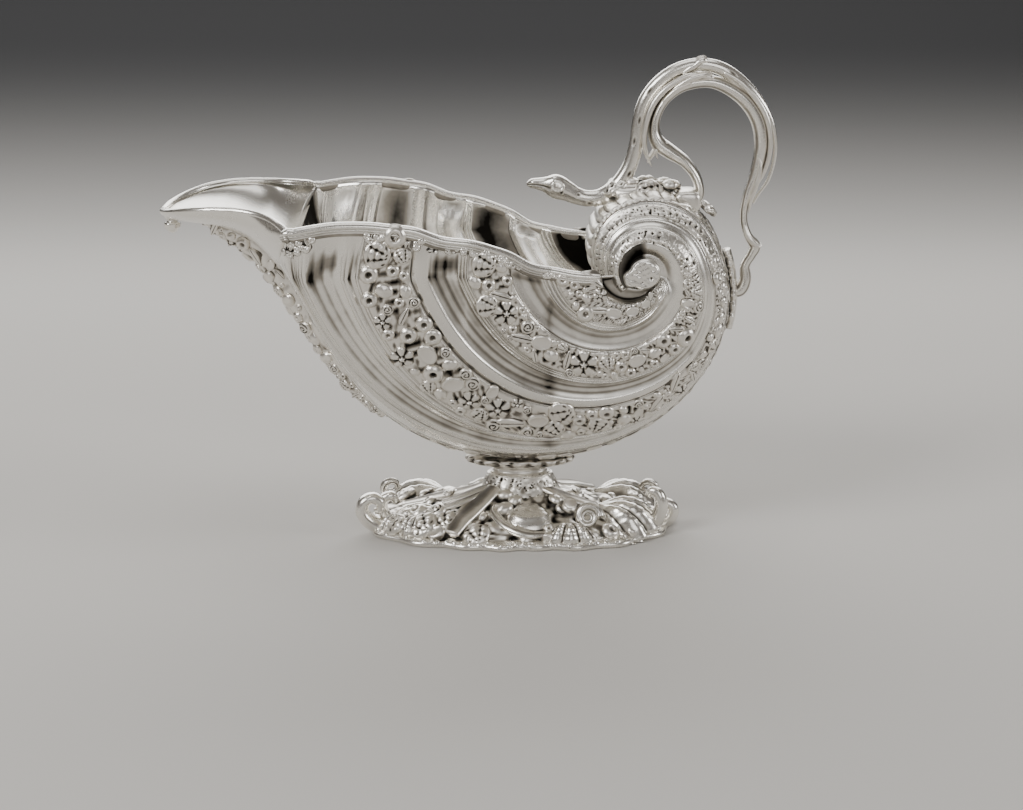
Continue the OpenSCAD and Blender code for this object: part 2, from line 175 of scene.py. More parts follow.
def lumps(p, size, seed=0):
    """Soft bumpy noise from -1 to 1 with lumps about size across."""
    r = np.random.default_rng(seed)

    def wave(longest, shortest):
        k = unit(r.normal(size=3))*2*pi/(size*r.uniform(shortest, longest))
        return np.sin(p @ k + r.uniform(0, 6.3))

    return sum(wave(2.2, 0.8)*wave(2, 0.9) for _ in range(7))/3

# %% [markdown]
# The hull is one spiral surface. A point on it has two addresses: the angle round the volute's axis,
# and a line number across, from the keel (0) to the sheet's inner edge (10). The numbers between are
# the chased lines that run the shell's whole length, so bands and flutes can follow it.

# %% The spiral of the shell
AX, AZ, R_IN = 41.0, 98.2, 4.9
KEEL_R = [131, 96.3, 63.2, 41.3, 29, 24.6, 21.7, 19.3, 16.6, 14.5]
RIM_RHO = [1, .992, .90, .833, .685, .57, .425, .314, .189, .088, .056]
MID_RHO = [1, .97, .92, .893, .798, .588, .413, .321, .235, .13, .012]
COIL_RHO = [1, .97, .94, .91, .87, .745, .545, .33, .08, .015, 0]
RIM_HALF = [0, .55, .985, 1, 1, 1, 1, 1, 1, 1, 1]
# The mouth rises and falls from band to band, so its angles come at half lines.
RIM_ANGLE = [1.5, .9, 0, -3.6, -7.3, -7.85, -8.6, -10, -11, -11.4, -11.7, -10.6, -10.95, -10.1,
             -8.4, -3.9, -2, .7, 2.4, 2.95, 3.4]
# Half the hull's width (mm) at each x.
HALF_WIDTH = [(-95, 51.7), (-77, 51.6), (-46, 49.5), (-18, 46.4), (10, 40.8), (80, 40.3)]
COIL_END = 402
# Under the spout the sheet is drawn in to a blunt prow: how far (mm) at each angle, and what
# share of that at each line.
DRAWN_IN = [(-8, 0), (-2, 5), (0, 8.2), (5, 8.8), (10, 8.1), (15, 6.3), (20, 4.5), (25, 2.8), (30, 1.2),
            (38, 0)]
DRAWN_SHARE = [(0, .66), (.5, .88), (1, 1), (1.5, .74), (2, .36), (2.6, .08), (3, 0)]


def rim_angle(b):
    return through(RIM_ANGLE, 2*np.asarray(b, float))


def shell(b, a):
    """Points of the plain near half: line b, angle a in degrees."""
    b, a = np.broadcast_arrays(np.asarray(b, float), np.asarray(a, float))
    R = np.exp(through(np.log(KEEL_R), a/45))
    # The share of the way out from the coil goes from the rim's keys to the coil's.
    t = np.clip((a + 14)/134, 0, 1)
    rho = (1 - t)**2*through(RIM_RHO, b) + 2*t*(1 - t)*through(MID_RHO, b) + t*t*through(COIL_RHO, b)
    rho = np.clip(rho, 0, 1)
    r = R_IN + (R - R_IN)*rho - np.interp(a, *zip(*DRAWN_IN))*np.interp(b, *zip(*DRAWN_SHARE))
    # Straight sides at the rim turn into a near circle across.
    g = smooth((a + 12)/62)
    round_half = np.maximum(0, 1 - rho**2.1)**(1/2.1)
    share = np.clip(through(RIM_HALF, b), 0, 1)*(1 - g) + round_half*g
    x = AX - r*np.cos(np.radians(a))
    return np.stack([x, -np.interp(x, *zip(*HALF_WIDTH))*share, AZ - r*np.sin(np.radians(a))], -1)


def shell_frame(b, a):
    """Point, outward normal, and the directions across (to the inner edge) and along the spiral."""
    b, a = np.broadcast_arrays(np.asarray(b, float), np.asarray(a, float))
    lo, hi = np.maximum(b - 0.04, 0), np.minimum(b + 0.04, 10)
    across = unit(shell(hi, a) - shell(lo, a))
    along = unit(shell(b, a + 0.4) - shell(b, a - 0.4))
    n = unit(np.cross(along, across))
    n[..., 1] = np.where(b < 0.02, 0, n[..., 1])
    return shell(b, a), unit(n), across, along


p, n, _, _ = shell_frame(0.0, 60.0)
OUT = 1.0 if n[2] < 0 else -1.0
print("keel bottom", p, "normal", n, "sign", OUT)

# %% [markdown]
# Between the shell bands the silver is chased into hollow flutes with fine ridges beside them.
# The table gives the height of the sheet across the lines, in millimetres, where the flutes are
# deepest. Inside the bowl the same sheet shows as broad hollow panels with a sharp ridge between
# each two, so the inner face gets its own relief.

# %% Relief of the sheet
PROFILE = np.array([
    (0, 0), (1, 0), (1.04, -.5), (1.15, -.5), (1.9, -.3), (2.0, .25), (2.1, -.1), (2.3, -1.0), (2.55, -.9),
    (2.62, -.1), (2.68, -.45), (2.74, .05), (2.80, -.3), (2.86, .15), (2.92, -.15), (3.0, .5), (3.05, .1),
    (3.15, -.9), (3.35, -1.7), (3.55, -1.6), (3.68, -.7), (3.72, .1), (3.76, -.3), (3.80, .1), (3.86, -.8),
    (3.94, -.8), (3.98, .1), (4, 0), (5, 0), (5.02, -.6), (5.05, -.5), (5.12, .35), (5.22, .5), (5.31, .2),
    (5.34, -.6), (5.45, -1.7), (5.6, -2.1), (5.72, -1.6), (5.8, -.8), (5.83, .1), (5.87, -.5), (5.9, .15),
    (5.93, -.4), (5.96, .2), (5.985, -.3), (6, 0), (7, 0), (7.02, -.8), (7.06, -.9), (7.2, -1.5),
    (7.45, -2.0), (7.62, -1.4), (7.7, -.5), (7.73, .2), (7.78, -.3), (7.83, .25), (7.88, -.25), (7.93, .3),
    (7.97, -.2), (8, 0), (9, 0), (9.04, -1.2), (9.25, -3.2), (9.7, -3.6), (10, -3.6)])
PANELS = [1.9, 3.57, 4.95, 6.0, 7.17, 8.0, 9.0, 10]


def relief(b, a):
    h = np.interp(b, PROFILE[:, 0], PROFILE[:, 1])
    fade = 0.42 + 0.58*(1 - smooth((a - 50)/150))
    start = smooth((a - rim_angle(b) - 1)/7)
    coil = smooth((a - 120)/50)
    deep = np.where(b > 7.04, -3.4*smooth((b - 7.04)/.8), 0)
    return h*fade*(0.25 + 0.75*start)*(1 - coil*(b > 7.02)) + deep*coil


def inner_relief(b, a):
    i = np.clip(np.searchsorted(PANELS, b, side="right") - 1, 0, len(PANELS) - 2)
    lo, hi = np.take(PANELS, i), np.take(PANELS, i + 1)
    t = np.clip((b - lo)/(hi - lo), 0, 1)
    return 1.6*np.abs(2*t - 1)**2.4*(b >= 2)*(1 - smooth((a - 100)/60))


def on_sheet(b, a, d=0.0):
    """A point d millimetres off the chased sheet."""
    p, n, _, _ = shell_frame(b, a)
    return p + n*OUT*np.asarray(relief(b, a) + d)[..., None]

# %% Line numbers across the sheet, closest together where the ridges are
def spread(*runs):
    return np.concatenate([np.linspace(lo, hi, n, endpoint=False) for lo, hi, n in runs] + [[10.0]])


ACROSS = spread((0, .05, 1), (.05, 1, 7), (1, 2, 8), (2, 2.6, 7), (2.6, 3.1, 22), (3.1, 3.6, 8),
                (3.6, 4.02, 22),
                (4.02, 4.98, 5), (4.98, 5.4, 18), (5.4, 5.8, 8), (5.8, 6.02, 22), (6.02, 6.98, 5),
                (6.98, 7.1, 6),
                (7.1, 7.65, 10), (7.65, 8.02, 24), (8.02, 8.98, 5), (8.98, 10, 16))


def sheet_rings(n):
    """The sheet's two faces as n rings, from the rim to the coil's end, closer together at the rim."""
    start = rim_angle(ACROSS)
    a = start + (COIL_END - start)*np.linspace(0, 1, n)[:, None]**1.12
    b = np.broadcast_to(ACROSS, a.shape)
    outer = on_sheet(b, a)
    p, nn, _, _ = shell_frame(b, a)
    h = relief(b, a)
    back = np.minimum(np.minimum(h, 0)*0.55 - 1.2, h - .9) - inner_relief(b, a)
    inner = p + nn*OUT*back[..., None]
    outer[:, 0, 1] = inner[:, 0, 1] = 0
    return np.concatenate([outer, inner[:, ::-1]], 1), b, a


rings, b, a = sheet_rings(210)
v, f = skin(rings)
# Painted shade: the outer face is darker the deeper its chasing lies, as dark lines along the flutes.
groove_shade = np.clip(-relief(b, a)*0.05, 0, .13)
# The recess under the eye is painted grey, a painted shade. The hollow round it is polished where it opens
# and painted black where it closes, over the eye, a painted shadow.
groove_shade = np.maximum(groove_shade, .42*smooth((b - 9.02)/.1)*(a < 120))
groove_shade = np.where((a > 120) & (b > 7.05), .10 + .8*smooth((a - 258)/24), groove_shade)
t = sheet_dark(groove_shade, 0.0)
hull_near, hull_far = both_sides("hull_sheet", (v, f, t))
print("hull sheet", len(f), "faces a side")

# %% [markdown]
# The bands are cast sea life: scallops, limpets, barnacles, turban snails, flowers, pebbles. Each kind
# is modelled once. It starts as a round ball that Blender adds, whose lower half is flattened and
# whose upper half is carved by a rule, and then it is set on the band again and again.

# %% One small ornament of each kind
def ball(segments, rings):
    bpy.ops.object.select_all(action="DESELECT")
    bpy.ops.mesh.primitive_uv_sphere_add(segments=segments, ring_count=rings, radius=1)
    o = bpy.context.object
    v = np.array([q.co[:] for q in o.data.vertices])
    f = [list(q.vertices) for q in o.data.polygons]
    bpy.data.objects.remove(o)
    return v, f


def carve(kind, segments=20, rings=14):
    v, f = ball(*((36, 18) if kind == "scallop" else (segments, rings)))  # its ribs need a finer ball
    r = np.hypot(v[:, 0], v[:, 1])
    th = np.arctan2(v[:, 1], v[:, 0])
    q = np.where(v[:, 2] > -1e-6, 1 - np.arcsin(np.clip(v[:, 2], 0, 1))*2/pi, 1)
    dome = np.sqrt(np.maximum(0, 1 - q*q))
    x, y, z, dark = q*np.cos(th), q*np.sin(th), 0.5*dome, 0.65*smooth((q - .8)/.2)
    if kind == "scallop":
        s, w = np.hypot(x + 1.05, y), np.arctan2(y, x + 1.05)
        rib = np.abs(np.cos(5.5*w))
        z = (0.42*dome**.8 + 0.05)*(0.72 + 0.28*rib) + .05*np.sin(14*s)*(q < .95)
        edge = 1 + 0.07*rib*smooth((q - .5)/.5)*(x > -.3)
        x, y = x*edge, y*edge*1.08
        dark = np.maximum(dark*.7, .75*(1 - rib)**2.5)
    elif kind == "limpet":
        z = np.where(q > .42, .5*(1 - ((q - .42)/.6)**2), .5 - .4*dome**3*smooth((.42 - q)/.2))
        z += .06*np.cos(9*th)*smooth((q - .4)/.2)*(1 - q)
        dark = np.maximum(dark, .2*smooth((.34 - q)/.12))
    elif kind == "turban":
        wind = np.cos(th - 2*pi*2.3*q)
        z = .62*dome**.9*(.8 + .2*wind)
        dark = np.maximum(dark, .8*smooth((-.55 - wind)/.3))
    elif kind == "flower":
        petal = np.abs(np.cos(2.5*th))
        edge = .7 + .3*petal**.6
        z = .3*dome*(.5 + .5*petal) + .3*np.exp(-(q/.2)**2)
        x, y = x*edge, y*edge
        dark = np.maximum(dark*.6, .55*(1 - petal)**2*smooth((q - .15)/.1))
        dark = np.maximum(dark, .8*np.exp(-((q - .3)/.06)**2))
    elif kind == "leaf":
        y = y*.5*(1 - .55*smooth((x + .1)/1.1))
        z = .3*dome*(1 - .5*np.exp(-(y/.06)**2)) + .1*x*x
        x = x*1.35
        dark = np.maximum(dark*.6, .7*np.exp(-(y/.05)**2))
    elif kind == "dish":
        z = np.where(q > .8, .38*np.sqrt(np.maximum(0, 1 - ((q - .8)/.2)**2)), .38 - .15*dome**1.5)
        y = y*.72
    elif kind == "pebble":
        y = y*.8
        z = .52*dome*(1 + .12*np.sin(5*x + 2)*np.cos(4*y))
    low = v[:, 2] < -1e-6
    x, y = np.where(low, v[:, 0]*.96, x), np.where(low, v[:, 1]*.96, y)
    return np.stack([x, y, np.where(low, -.22, z)], -1), f, np.where(low, .9, dark)


KINDS = {k: carve(k) for k in ("scallop", "limpet", "turban", "flower", "leaf", "dish", "pebble")}
TINY = {k: carve(k, 10, 8) for k in ("limpet", "pebble")}
print("ornaments:", {k: len(v[1]) for k, v in KINDS.items()})

# %% Set an ornament on the sheet
def set_on(kind, b, a, size, turn=0.0, lift=0.5, high=1.0, stock=KINDS):
    v, f, t = stock[kind]
    p, n, across, along = (q.reshape(3) for q in shell_frame(float(b), float(a)))
    n = n*OUT
    ex = along*cos(turn) + across*sin(turn)
    ey = np.cross(n, ex)
    o = on_sheet(float(b), float(a), lift).reshape(3)
    return set_down(v*[1, 1, high], o, ex, ey, n, size), f, t


def far_half(grid, s):
    """Puts the columns with s over 0 on the far side."""
    return grid*np.stack([0*s + 1, np.where(s > 0, -1, 1), 0*s + 1], -1)


def keel_wide(a):
    """How much of its full width the keel's crust has: it is narrow on the prow."""
    return .34 + .66*smooth((np.asarray(a, float) - 12)/36)


def ground(b0, b1, a0, a1, n, m=16, lift=0.55, both=False, size=1.6, seed=3, ragged=0.0, worn=False):
    """The stippled strip that a band's ornaments stand on. With both, it crosses the keel."""
    s = np.linspace(-1 if both else 0, 1, m)
    bb = np.broadcast_to(np.abs(s)*b1 if both else b0 + (b1 - b0)*s, (n, m)).copy()
    start = rim_angle(bb[0]) if a0 is None else np.full(m, float(a0))
    aa = start + (a1 - start)*np.linspace(0, 1, n)[:, None]**1.06
    if both:
        bb = bb*keel_wide(aa)
    flat = np.stack([aa*.9, np.broadcast_to(s*8, aa.shape), aa*0], -1)
    if ragged:
        grows = .4 + .6*smooth((aa - 120)/60)
        bb += (s > .5)*ragged*lumps(flat, 7, seed + 9)*smooth((s - .5)*2)*grows
    rough = lumps(flat, size, seed)
    edge = 1 - smooth((np.abs(s) - .75)/.25) if both else smooth((.5 - np.abs(s - .5))/.09)
    coil = smooth((aa - 165)/40)*worn
    pits = smooth((lumps(flat, 2.6, seed + 4) - .5)/.25)*coil
    crown = .5*coil*(1 - (2*np.abs(s - .5))**2)
    top = on_sheet(bb, aa, lift + .35*rough*edge*(1 - .6*coil) - .35*(1 - edge) + crown - .5*pits*edge)
    low = on_sheet(bb, aa, -.5)
    if both:
        top, low = far_half(top, s), far_half(low, s)
    dark = (.3 - .25*rough*edge)*(1 - .8*coil) + .45*(1 - edge)*(1 - .5*coil) + .8*pits
    return *sheet(top, low), sheet_dark(dark, .9)


def scatter(b0, b1, a0, a1, sizes, seed, taken=(), both=False):
    """Fills a band with ornaments of falling size that don't sit on each other.

    With both, the band is half the keel's, and its ornaments are lower."""
    r = np.random.default_rng(seed)
    placed = [(on_sheet(float(b), float(a)).reshape(3), s) for _, b, a, s, _ in taken]
    out = []
    for size, tries, kinds, stock in sizes:
        for _ in range(tries):
            b = b0 + (b1 - b0)*r.uniform(.08, .92)
            start = rim_angle(b) + 1.6 if a0 is None else a0
            a = start + (a1 - start)*r.random()**1.25
            b = b*float(keel_wide(a)) if both else b
            width = np.linalg.norm(shell(b1, a) - shell(b0, a))
            s = size*width*r.uniform(.85, 1.15)
            p = on_sheet(b, a).reshape(3)
            if all(np.linalg.norm(p - q) > .86*(s + z) for q, z in placed):
                placed.append((p, s))
                kind, turn = kinds[r.integers(len(kinds))], r.uniform(0, 6.28)
                lift, high = (-.3, .55) if both else (.5, 1)
                out.append(set_on(kind, b, a, s, turn, lift, high*r.uniform(.8, 1.1), stock))
    return out

# %% The three bands of each side
MIXED = ("limpet", "turban", "pebble", "scallop", "dish", "flower", "leaf", "limpet")
# The largest ones have their own places: kind, line, angle, size, turn.
HEROES = {
    1: [("scallop", 4.32, -5.5, 4.6, -1.7), ("limpet", 4.68, -2, 2.4, 0), ("pebble", 4.45, 2.5, 3.0, 1),
        ("pebble", 4.85, 3, 2.6, 0), ("leaf", 4.62, 9, 3.2, 2.4), ("limpet", 4.5, 14, 3.2, 0),
        ("dish", 4.6, 20, 4.2, 0), ("limpet", 4.42, 25.5, 3.8, 0), ("pebble", 4.8, 25, 2.6, 1.2),
        ("dish", 4.55, 30.5, 3.8, 1), ("flower", 4.45, 37, 4.0, 0), ("flower", 4.6, 44, 4.2, 1),
        ("leaf", 4.35, 50, 4.0, .4), ("dish", 4.6, 56, 3.6, .3), ("scallop", 4.4, 62, 4.4, 2.6),
        ("limpet", 4.7, 68, 2.6, 0), ("scallop", 4.45, 75, 3.4, 1.2), ("pebble", 4.4, 84, 2.8, 0)],
    2: [("scallop", 6.35, -4.8, 4.2, -1.8), ("pebble", 6.78, -4, 2.4, 1), ("limpet", 6.4, 3, 2.6, 0),
        ("leaf", 6.6, 8, 3, 1), ("flower", 6.45, 15, 4.6, 0), ("turban", 6.7, 24, 2.6, 0),
        ("leaf", 6.35, 28, 3.2, .6), ("dish", 6.6, 34, 3.4, .5), ("pebble", 6.4, 42, 3.0, 0),
        ("leaf", 6.5, 49, 3.2, 2), ("flower", 6.5, 57, 4.4, .6), ("scallop", 6.6, 68, 3.4, 2.2),
        ("limpet", 6.4, 77, 2.4, 0), ("dish", 6.5, 86, 3, .2), ("pebble", 6.5, 98, 2.4, 0)],
    3: [("limpet", 8.4, 8, 2.0, 0), ("pebble", 8.5, 22, 1.9, 0), ("dish", 8.5, 52, 2.8, 0),
        ("dish", 8.5, 72, 2.4, 0), ("dish", 8.5, 92, 1.8, 0)]}
FILLING = [(.30, 260, MIXED, KINDS), (.19, 700, MIXED, KINDS),
           (.12, 1200, ("limpet", "pebble", "turban"), KINDS)]
bands = {}
for k, b0, b1, a1, fill_to, n in ((1, 4, 5, COIL_END - 2, 190, 330), (2, 6, 7, COIL_END - 2, 165, 300),
                                  (3, 8, 9, 165, 110, 150)):
    big = [set_on(*hero) for hero in HEROES[k]]
    fill = scatter(b0, b1, None, fill_to, FILLING, 40 + k, HEROES[k])
    coil = scatter(b0, b1, 165, 250, [(.13, 200, ("pebble", "limpet"), TINY)], 60 + k) if k < 3 else []
    base = ground(b0, b1, None, a1, n, seed=k, ragged=.16 if k == 2 else 0, worn=k < 3)
    part = merge([base] + big + fill + coil)
    bands[k] = both_sides(f"shell_band_{k}", part)
    print("band", k, len(big) + len(fill) + len(coil), "ornaments,", len(part[1]), "faces a side")

# %% [markdown]
# Along the keel runs a rougher crust of the same casts. It starts under the spout, passes under the
# boat, climbs the back and rolls over the volute, where it turns into plain chased ribs.

# %% The keel's crust
KEEL_FILLING = [(.36, 300, MIXED, KINDS), (.24, 600, MIXED, KINDS), (.15, 900, ("limpet", "pebble"), TINY)]


def keel_part(a0, a1, n, seed):
    parts = [ground(0, 1, a0, a1, n, m=30, lift=.35, both=True, size=3.2, seed=seed)]
    for side in (1, -1):
        got = scatter(0.0, .97, a0 + 2, a1 - 1, KEEL_FILLING, seed + side, both=True)
        parts += [q if side > 0 else mirrored(*q) for q in got]
    return parts


keel_front = new_piece("keel_crust_front", *merge(keel_part(-2, 62, 170, 81)))
back = keel_part(62, 225, 190, 91)
s = np.linspace(-1, 1, 25)
a, across = np.meshgrid(np.linspace(224, 392, 420), np.abs(s), indexing="ij")
rib = np.abs(np.sin(np.radians(a*13.5 + 60*across**2)))**.7*(1 - across**6)
rib_b = across*(1 + 1.2*smooth((a - 224)/22))
ribs = [far_half(on_sheet(rib_b, a, high), s) for high in (.5 + .95*rib, -.5)]
back.append((*sheet(*ribs), sheet_dark(.55*(1 - rib)**2, .8)))
# A row of rings stands beside the ribs.
for a in np.arange(250, 332, 6.2):
    ring = set_on("limpet", 2.62, a, 1.25)
    back += [ring, mirrored(*ring)]
keel_back = new_piece("keel_crust_back", *merge(back))
print("keel crust", len(keel_front.data.polygons), len(keel_back.data.polygons))

# %% [markdown]
# A moulded wire is soldered round the mouth. On the real boat it is a drawn strip with fine reeds, so
# here one reeded outline is carried along the sheet's top edge.

# %% Wires along a path
def sweep(path, sides, ups, outline, size):
    """Rings of one outline (pairs across and up) carried along a path, with a size at each step."""
    o = outline*np.asarray(size)[:, None]
    return path[:, None] + o[..., :1]*sides[:, None] + o[..., 1:]*ups[:, None]


def along(path):
    return unit(np.gradient(path, axis=0))


def level_axes(path):
    """The level direction across a path, and the one square to both."""
    side = unit(np.cross(along(path), (0, 0, 1)))
    return side, np.cross(side, along(path))


bb = np.linspace(1.93, 9.25, 250)
p, n, _, _ = shell_frame(bb, rim_angle(bb))
path = p - n*OUT*.2
# A rounded top, then three reeds down the outer face. Pairs are out from the sheet, and up.
STRIP = [(-1.35, .2), (-1.2, 1.0), (-.5, 1.45), (.5, 1.4), (1.4, 1.0), (1.95, .3), (2.0, -.4), (1.65, -.75),
         (1.9, -1.15), (1.6, -1.6), (1.75, -2.0),
         (1.35, -2.5), (1.3, -2.9), (.6, -3.3), (-.4, -3.2), (-1.2, -2.4), (-1.4, -1.2)]
k = np.linspace(0, len(STRIP), 56, endpoint=False)
outline = through(STRIP*3, k + len(STRIP))
# Painted shade: the strip is darker on its lower inner face and in the troughs between the reeds, and stays
# bright on its top and outer reeds.
reed = np.clip((outline[:, 0] - 1.55)/.3, 0, 1) + (outline[:, 1] > -.5)
taper = np.interp(bb, [1.93, 2.05, 8.8, 9.25], [.7, 1, .95, .6])
v, f = skin(sweep(path, *level_axes(path), outline, taper[:, None]))
strip_shade = np.tile(.45*np.clip(1 - reed, 0, 1), len(path))
# Crumbs of the casts lean on the strip where the flutes and the bands meet it.
rng = np.random.default_rng(7)
crumbs = []
for k in range(90):
    lo, hi = [(2.05, 3.1), (5.02, 6.0), (7.02, 8.0), (4, 5), (6, 7)][k % 5]
    q = rng.uniform(lo, hi)
    a = rim_angle(q) + rng.uniform(1.4, 3.6)
    kind = ("pebble", "leaf", "limpet")[k % 3]
    crumbs.append(set_on(kind, q, a, rng.uniform(.8, 1.5), rng.uniform(0, 6), lift=1.2))
part = merge([(v, f, strip_shade)] + crumbs)
rim_near, rim_far = both_sides("rim_wire_reeded", part)
print("rim wire", len(part[1]))

# %% [markdown]
# The spout is a wide polished scoop. It has a thick rounded lip, a plain underside, and a small cast
# drop under its tip. It is a skin whose rings run from one lip down to the keel and up to the other.

# %% The spout
LIP = [(-124.3, 113.4, 2), (-123.0, 114.0, 10), (-119.4, 115.4, 19), (-113.5, 117.0, 27), (-106.2, 117.9, 31.5),
       (-99, 118.2, 33.4),
       (-92.5, 118.1, 35), (-86.5, 117.6, 38), (-82, 116.8, 42.6), (-78.6, 115.6, 48), (-76.4, 114.0, 51.5)]
BELLY = [(-124.2, 111.9), (-122.6, 111.3), (-119.6, 110.6), (-115.5, 109.9), (-110.5, 109.2), (-105.5, 108.5),
         (-100.5, 107.3), (-96, 105.3), (-92.8, 103.4), (-88.4, 99.6), (-82.3, 93.2)]
n, m = 90, 81
u = np.linspace(0, 10, n)
lip, belly = through(LIP, u)[:, None, :], through(BELLY, u)[:, None, :]
w = np.linspace(-1, 1, m)[None, :]
climb = (1 - np.cos(np.abs(w)*pi/2))**.75
x, z = (belly[..., i] + (lip[..., i] - belly[..., i])*climb for i in (0, 1))
bowl = np.stack([x, np.sign(w)*lip[..., 2]*np.sin(np.abs(w)*pi/2), z], -1)
nn = unit(np.cross(np.gradient(bowl, axis=1), np.gradient(bowl, axis=0)))
nn *= np.sign(nn[n//2, m//2, 2])
thick = (1.7 + 1.0*smooth((np.abs(w) - .8)/.2))*np.interp(u, [0, 1.5, 3], [.45, .8, 1])[:, None]
scoop = sheet(bowl, bowl + nn*thick[..., None])
# A round wire runs along both lips and meets at the tip, where it is thinner.
lips = bowl + nn
loop = np.concatenate([lips[:0:-1, -1], lips[:, 0]])
q = around(16)
taper = np.interp(np.abs(np.arange(len(loop)) - n + 1), [0, 8, 30], [.7, .85, 1])[:, None]
wire = skin(sweep(loop, *level_axes(loop), 1.25*np.stack([np.cos(q), np.sin(q)], -1), taper))
spout = new_piece("spout_scoop", *merge([(*scoop, 0), (*wire, 0)]))

# %% The crust runs from the keel up the prow and on under the spout
# Keys of the ridge's outer edge (x, z) and how deep the sheet lies under it.
RIDGE = [(-110.8, 108.9, .8), (-108.1, 107.5, 1.4), (-104.7, 104.8, 3.4), (-100.8, 102.0, 4.8),
         (-97.2, 99.6, 5.4), (-94.0, 97.0, 5.8), (-90.8, 93.4, 6.2), (-87.9, 89.6, 6.2),
         (-85.0, 85.8, 5.8), (-82.2, 81.4, 5.7), (-78.8, 75.4, 5.6), (-74.9, 69.8, 4.7), (-70.8, 63.4, 4.3),
         (-65.7, 56.4, 3.8), (-60.7, 49.6, 3.6), (-55.0, 44.4, 2.4), (-48.4, 39.9, .9)]
steps, m = 260, 36
k = through(RIDGE, np.linspace(0, len(RIDGE) - 1, steps))
path = np.stack([k[:, 0], 0*k[:, 0], k[:, 1]], -1)
forward = along(path)
out = np.cross(forward, [0, 1, 0])
out *= np.sign(-out[:1, 0])
th = np.linspace(0, pi, m)
half = np.interp(np.arange(steps), [0, 12, 40, 130, 259], [1.6, 3.0, 5.6, 6.6, 7.5])
# The ridge's base stays within the metal: it follows the sheet, or the spout's floor where the
# sheet has ended.
turn = np.degrees(np.arctan2(AZ - path[:, 2], AX - path[:, 0]))
b = np.linspace(0, 1, 60)
edge_b = np.array([np.interp(y, -shell(b, a)[:, 1], b) for y, a in zip(half, turn)])


def below(b):
    """How far the sheet's line b lies under the ridge's outer edge."""
    return ((path - on_sheet(b, turn, -.5))*out*[1, 0, 1]).sum(1)


on_spout = 1 - smooth((turn - 1.5)/1.5)
middle = below(0*turn)*(1 - on_spout) + (k[:, 2] + .5)*on_spout
deep = np.maximum(below(edge_b), middle)*(1 - on_spout) + (k[:, 2] + .7)*on_spout


def off_edge(j, y, down):
    """A point beside and under the ridge's outer edge at station j."""
    return path[j] + np.stack([0*y, y, 0*y], -1) - out[j]*down[..., None]


def ridge_at(j, q):
    """A point of the ridge at station j and turn q: half a turn goes from flank to flank over it."""
    y = -half[j]*np.sign(np.cos(q))*np.abs(np.cos(q))**.8
    return off_edge(j, y, deep[j]*(1 - np.clip(np.sin(q), 0, 1)**.8))


def ridge_ring(j):
    y = np.linspace(half[j], -half[j], 10)[1:-1]
    base = off_edge(j, y, middle[j] + (deep[j] - middle[j])*(y/half[j])**2)
    return np.concatenate([ridge_at(j, th), base])


rings = np.stack([ridge_ring(j) for j in range(steps)])
rough = lumps(rings, 4.2, 17)
crown = np.concatenate([np.sin(th), np.zeros(8)])
rings = rings + (.55*rough*crown)[..., None]*unit(rings - (path - out*deep[:, None])[:, None])
under = [(*skin(rings), np.clip(.2 - .25*rough, 0, 1).reshape(-1))]
r = np.random.default_rng(71)
placed = []
for size, tries in ((3.1, 150), (2.2, 420), (1.45, 800)):
    for i in range(tries):
        j, q = int(6 + (steps - 8)*r.random()**.9), r.uniform(.06, .94)*pi
        s = size*r.uniform(.8, 1.15)*np.interp(j, [0, 30, 60, 190, 259], [.4, .75, 1, 1, .55])
        at = ridge_at(j, np.array(q))
        if all(np.linalg.norm(at - p) > .84*(s + z) for p, z in placed):
            placed.append((at, s))
            v, f, t = KINDS[MIXED[i % 8]] if size > 1.5 else TINY[("limpet", "pebble")[i % 2]]
            n = unit(out[j]*sin(q) + np.array([0, -cos(q), 0]))
            d = unit(forward[j]*cos(i) + np.cross(n, forward[j])*sin(i))
            under.append((set_down(v, at, d, np.cross(n, d), n, s), f, t))
crust = new_piece("spout_crust_under", *merge(under))

# The drop is a ball turned to a baluster's outline, with six shallow lobes.
co, f = ball(24, 28)
h = (co[:, 2] + 1)/2
r = np.interp(h, [0, .08, .3, .5, .58, .66, .8, .92, 1], [0, 1.2, 2.6, 2.7, 1.7, 1.8, 2.6, 2.5, 0])
th = np.arctan2(co[:, 1], co[:, 0])
r = r*(1 + .08*np.cos(6*th)*(h < .55))
v = np.stack([-120.6 + r*np.cos(th), r*np.sin(th), 104.9 + 7.2*h], -1)
drop = new_piece("spout_drop_cast", v, f, .35*np.exp(-((h - .58)/.05)**2))
print("spout", len(spout.data.polygons))

# %% [markdown]
# Each volute ends in a flat eye with a worn, pitted face, and the coil's ridge runs into it from one
# side. It is a stack of rings whose outline has that tongue, from the back to the middle of its face.

# %% The volute eyes
# Pits in the face: place across and up from the axis, size, depth.
PITS = [(2.1, -1.2, .45, .8), (-.8, -2.6, .22, .4), (.2, 2.6, .2, .3), (-2.6, .4, .25, .4),
        (3.4, 1.0, .18, .3), (-6.2, .8, .25, .4), (-7.4, -1.6, .2, .4), (-5.0, -3.2, .2, .4)]


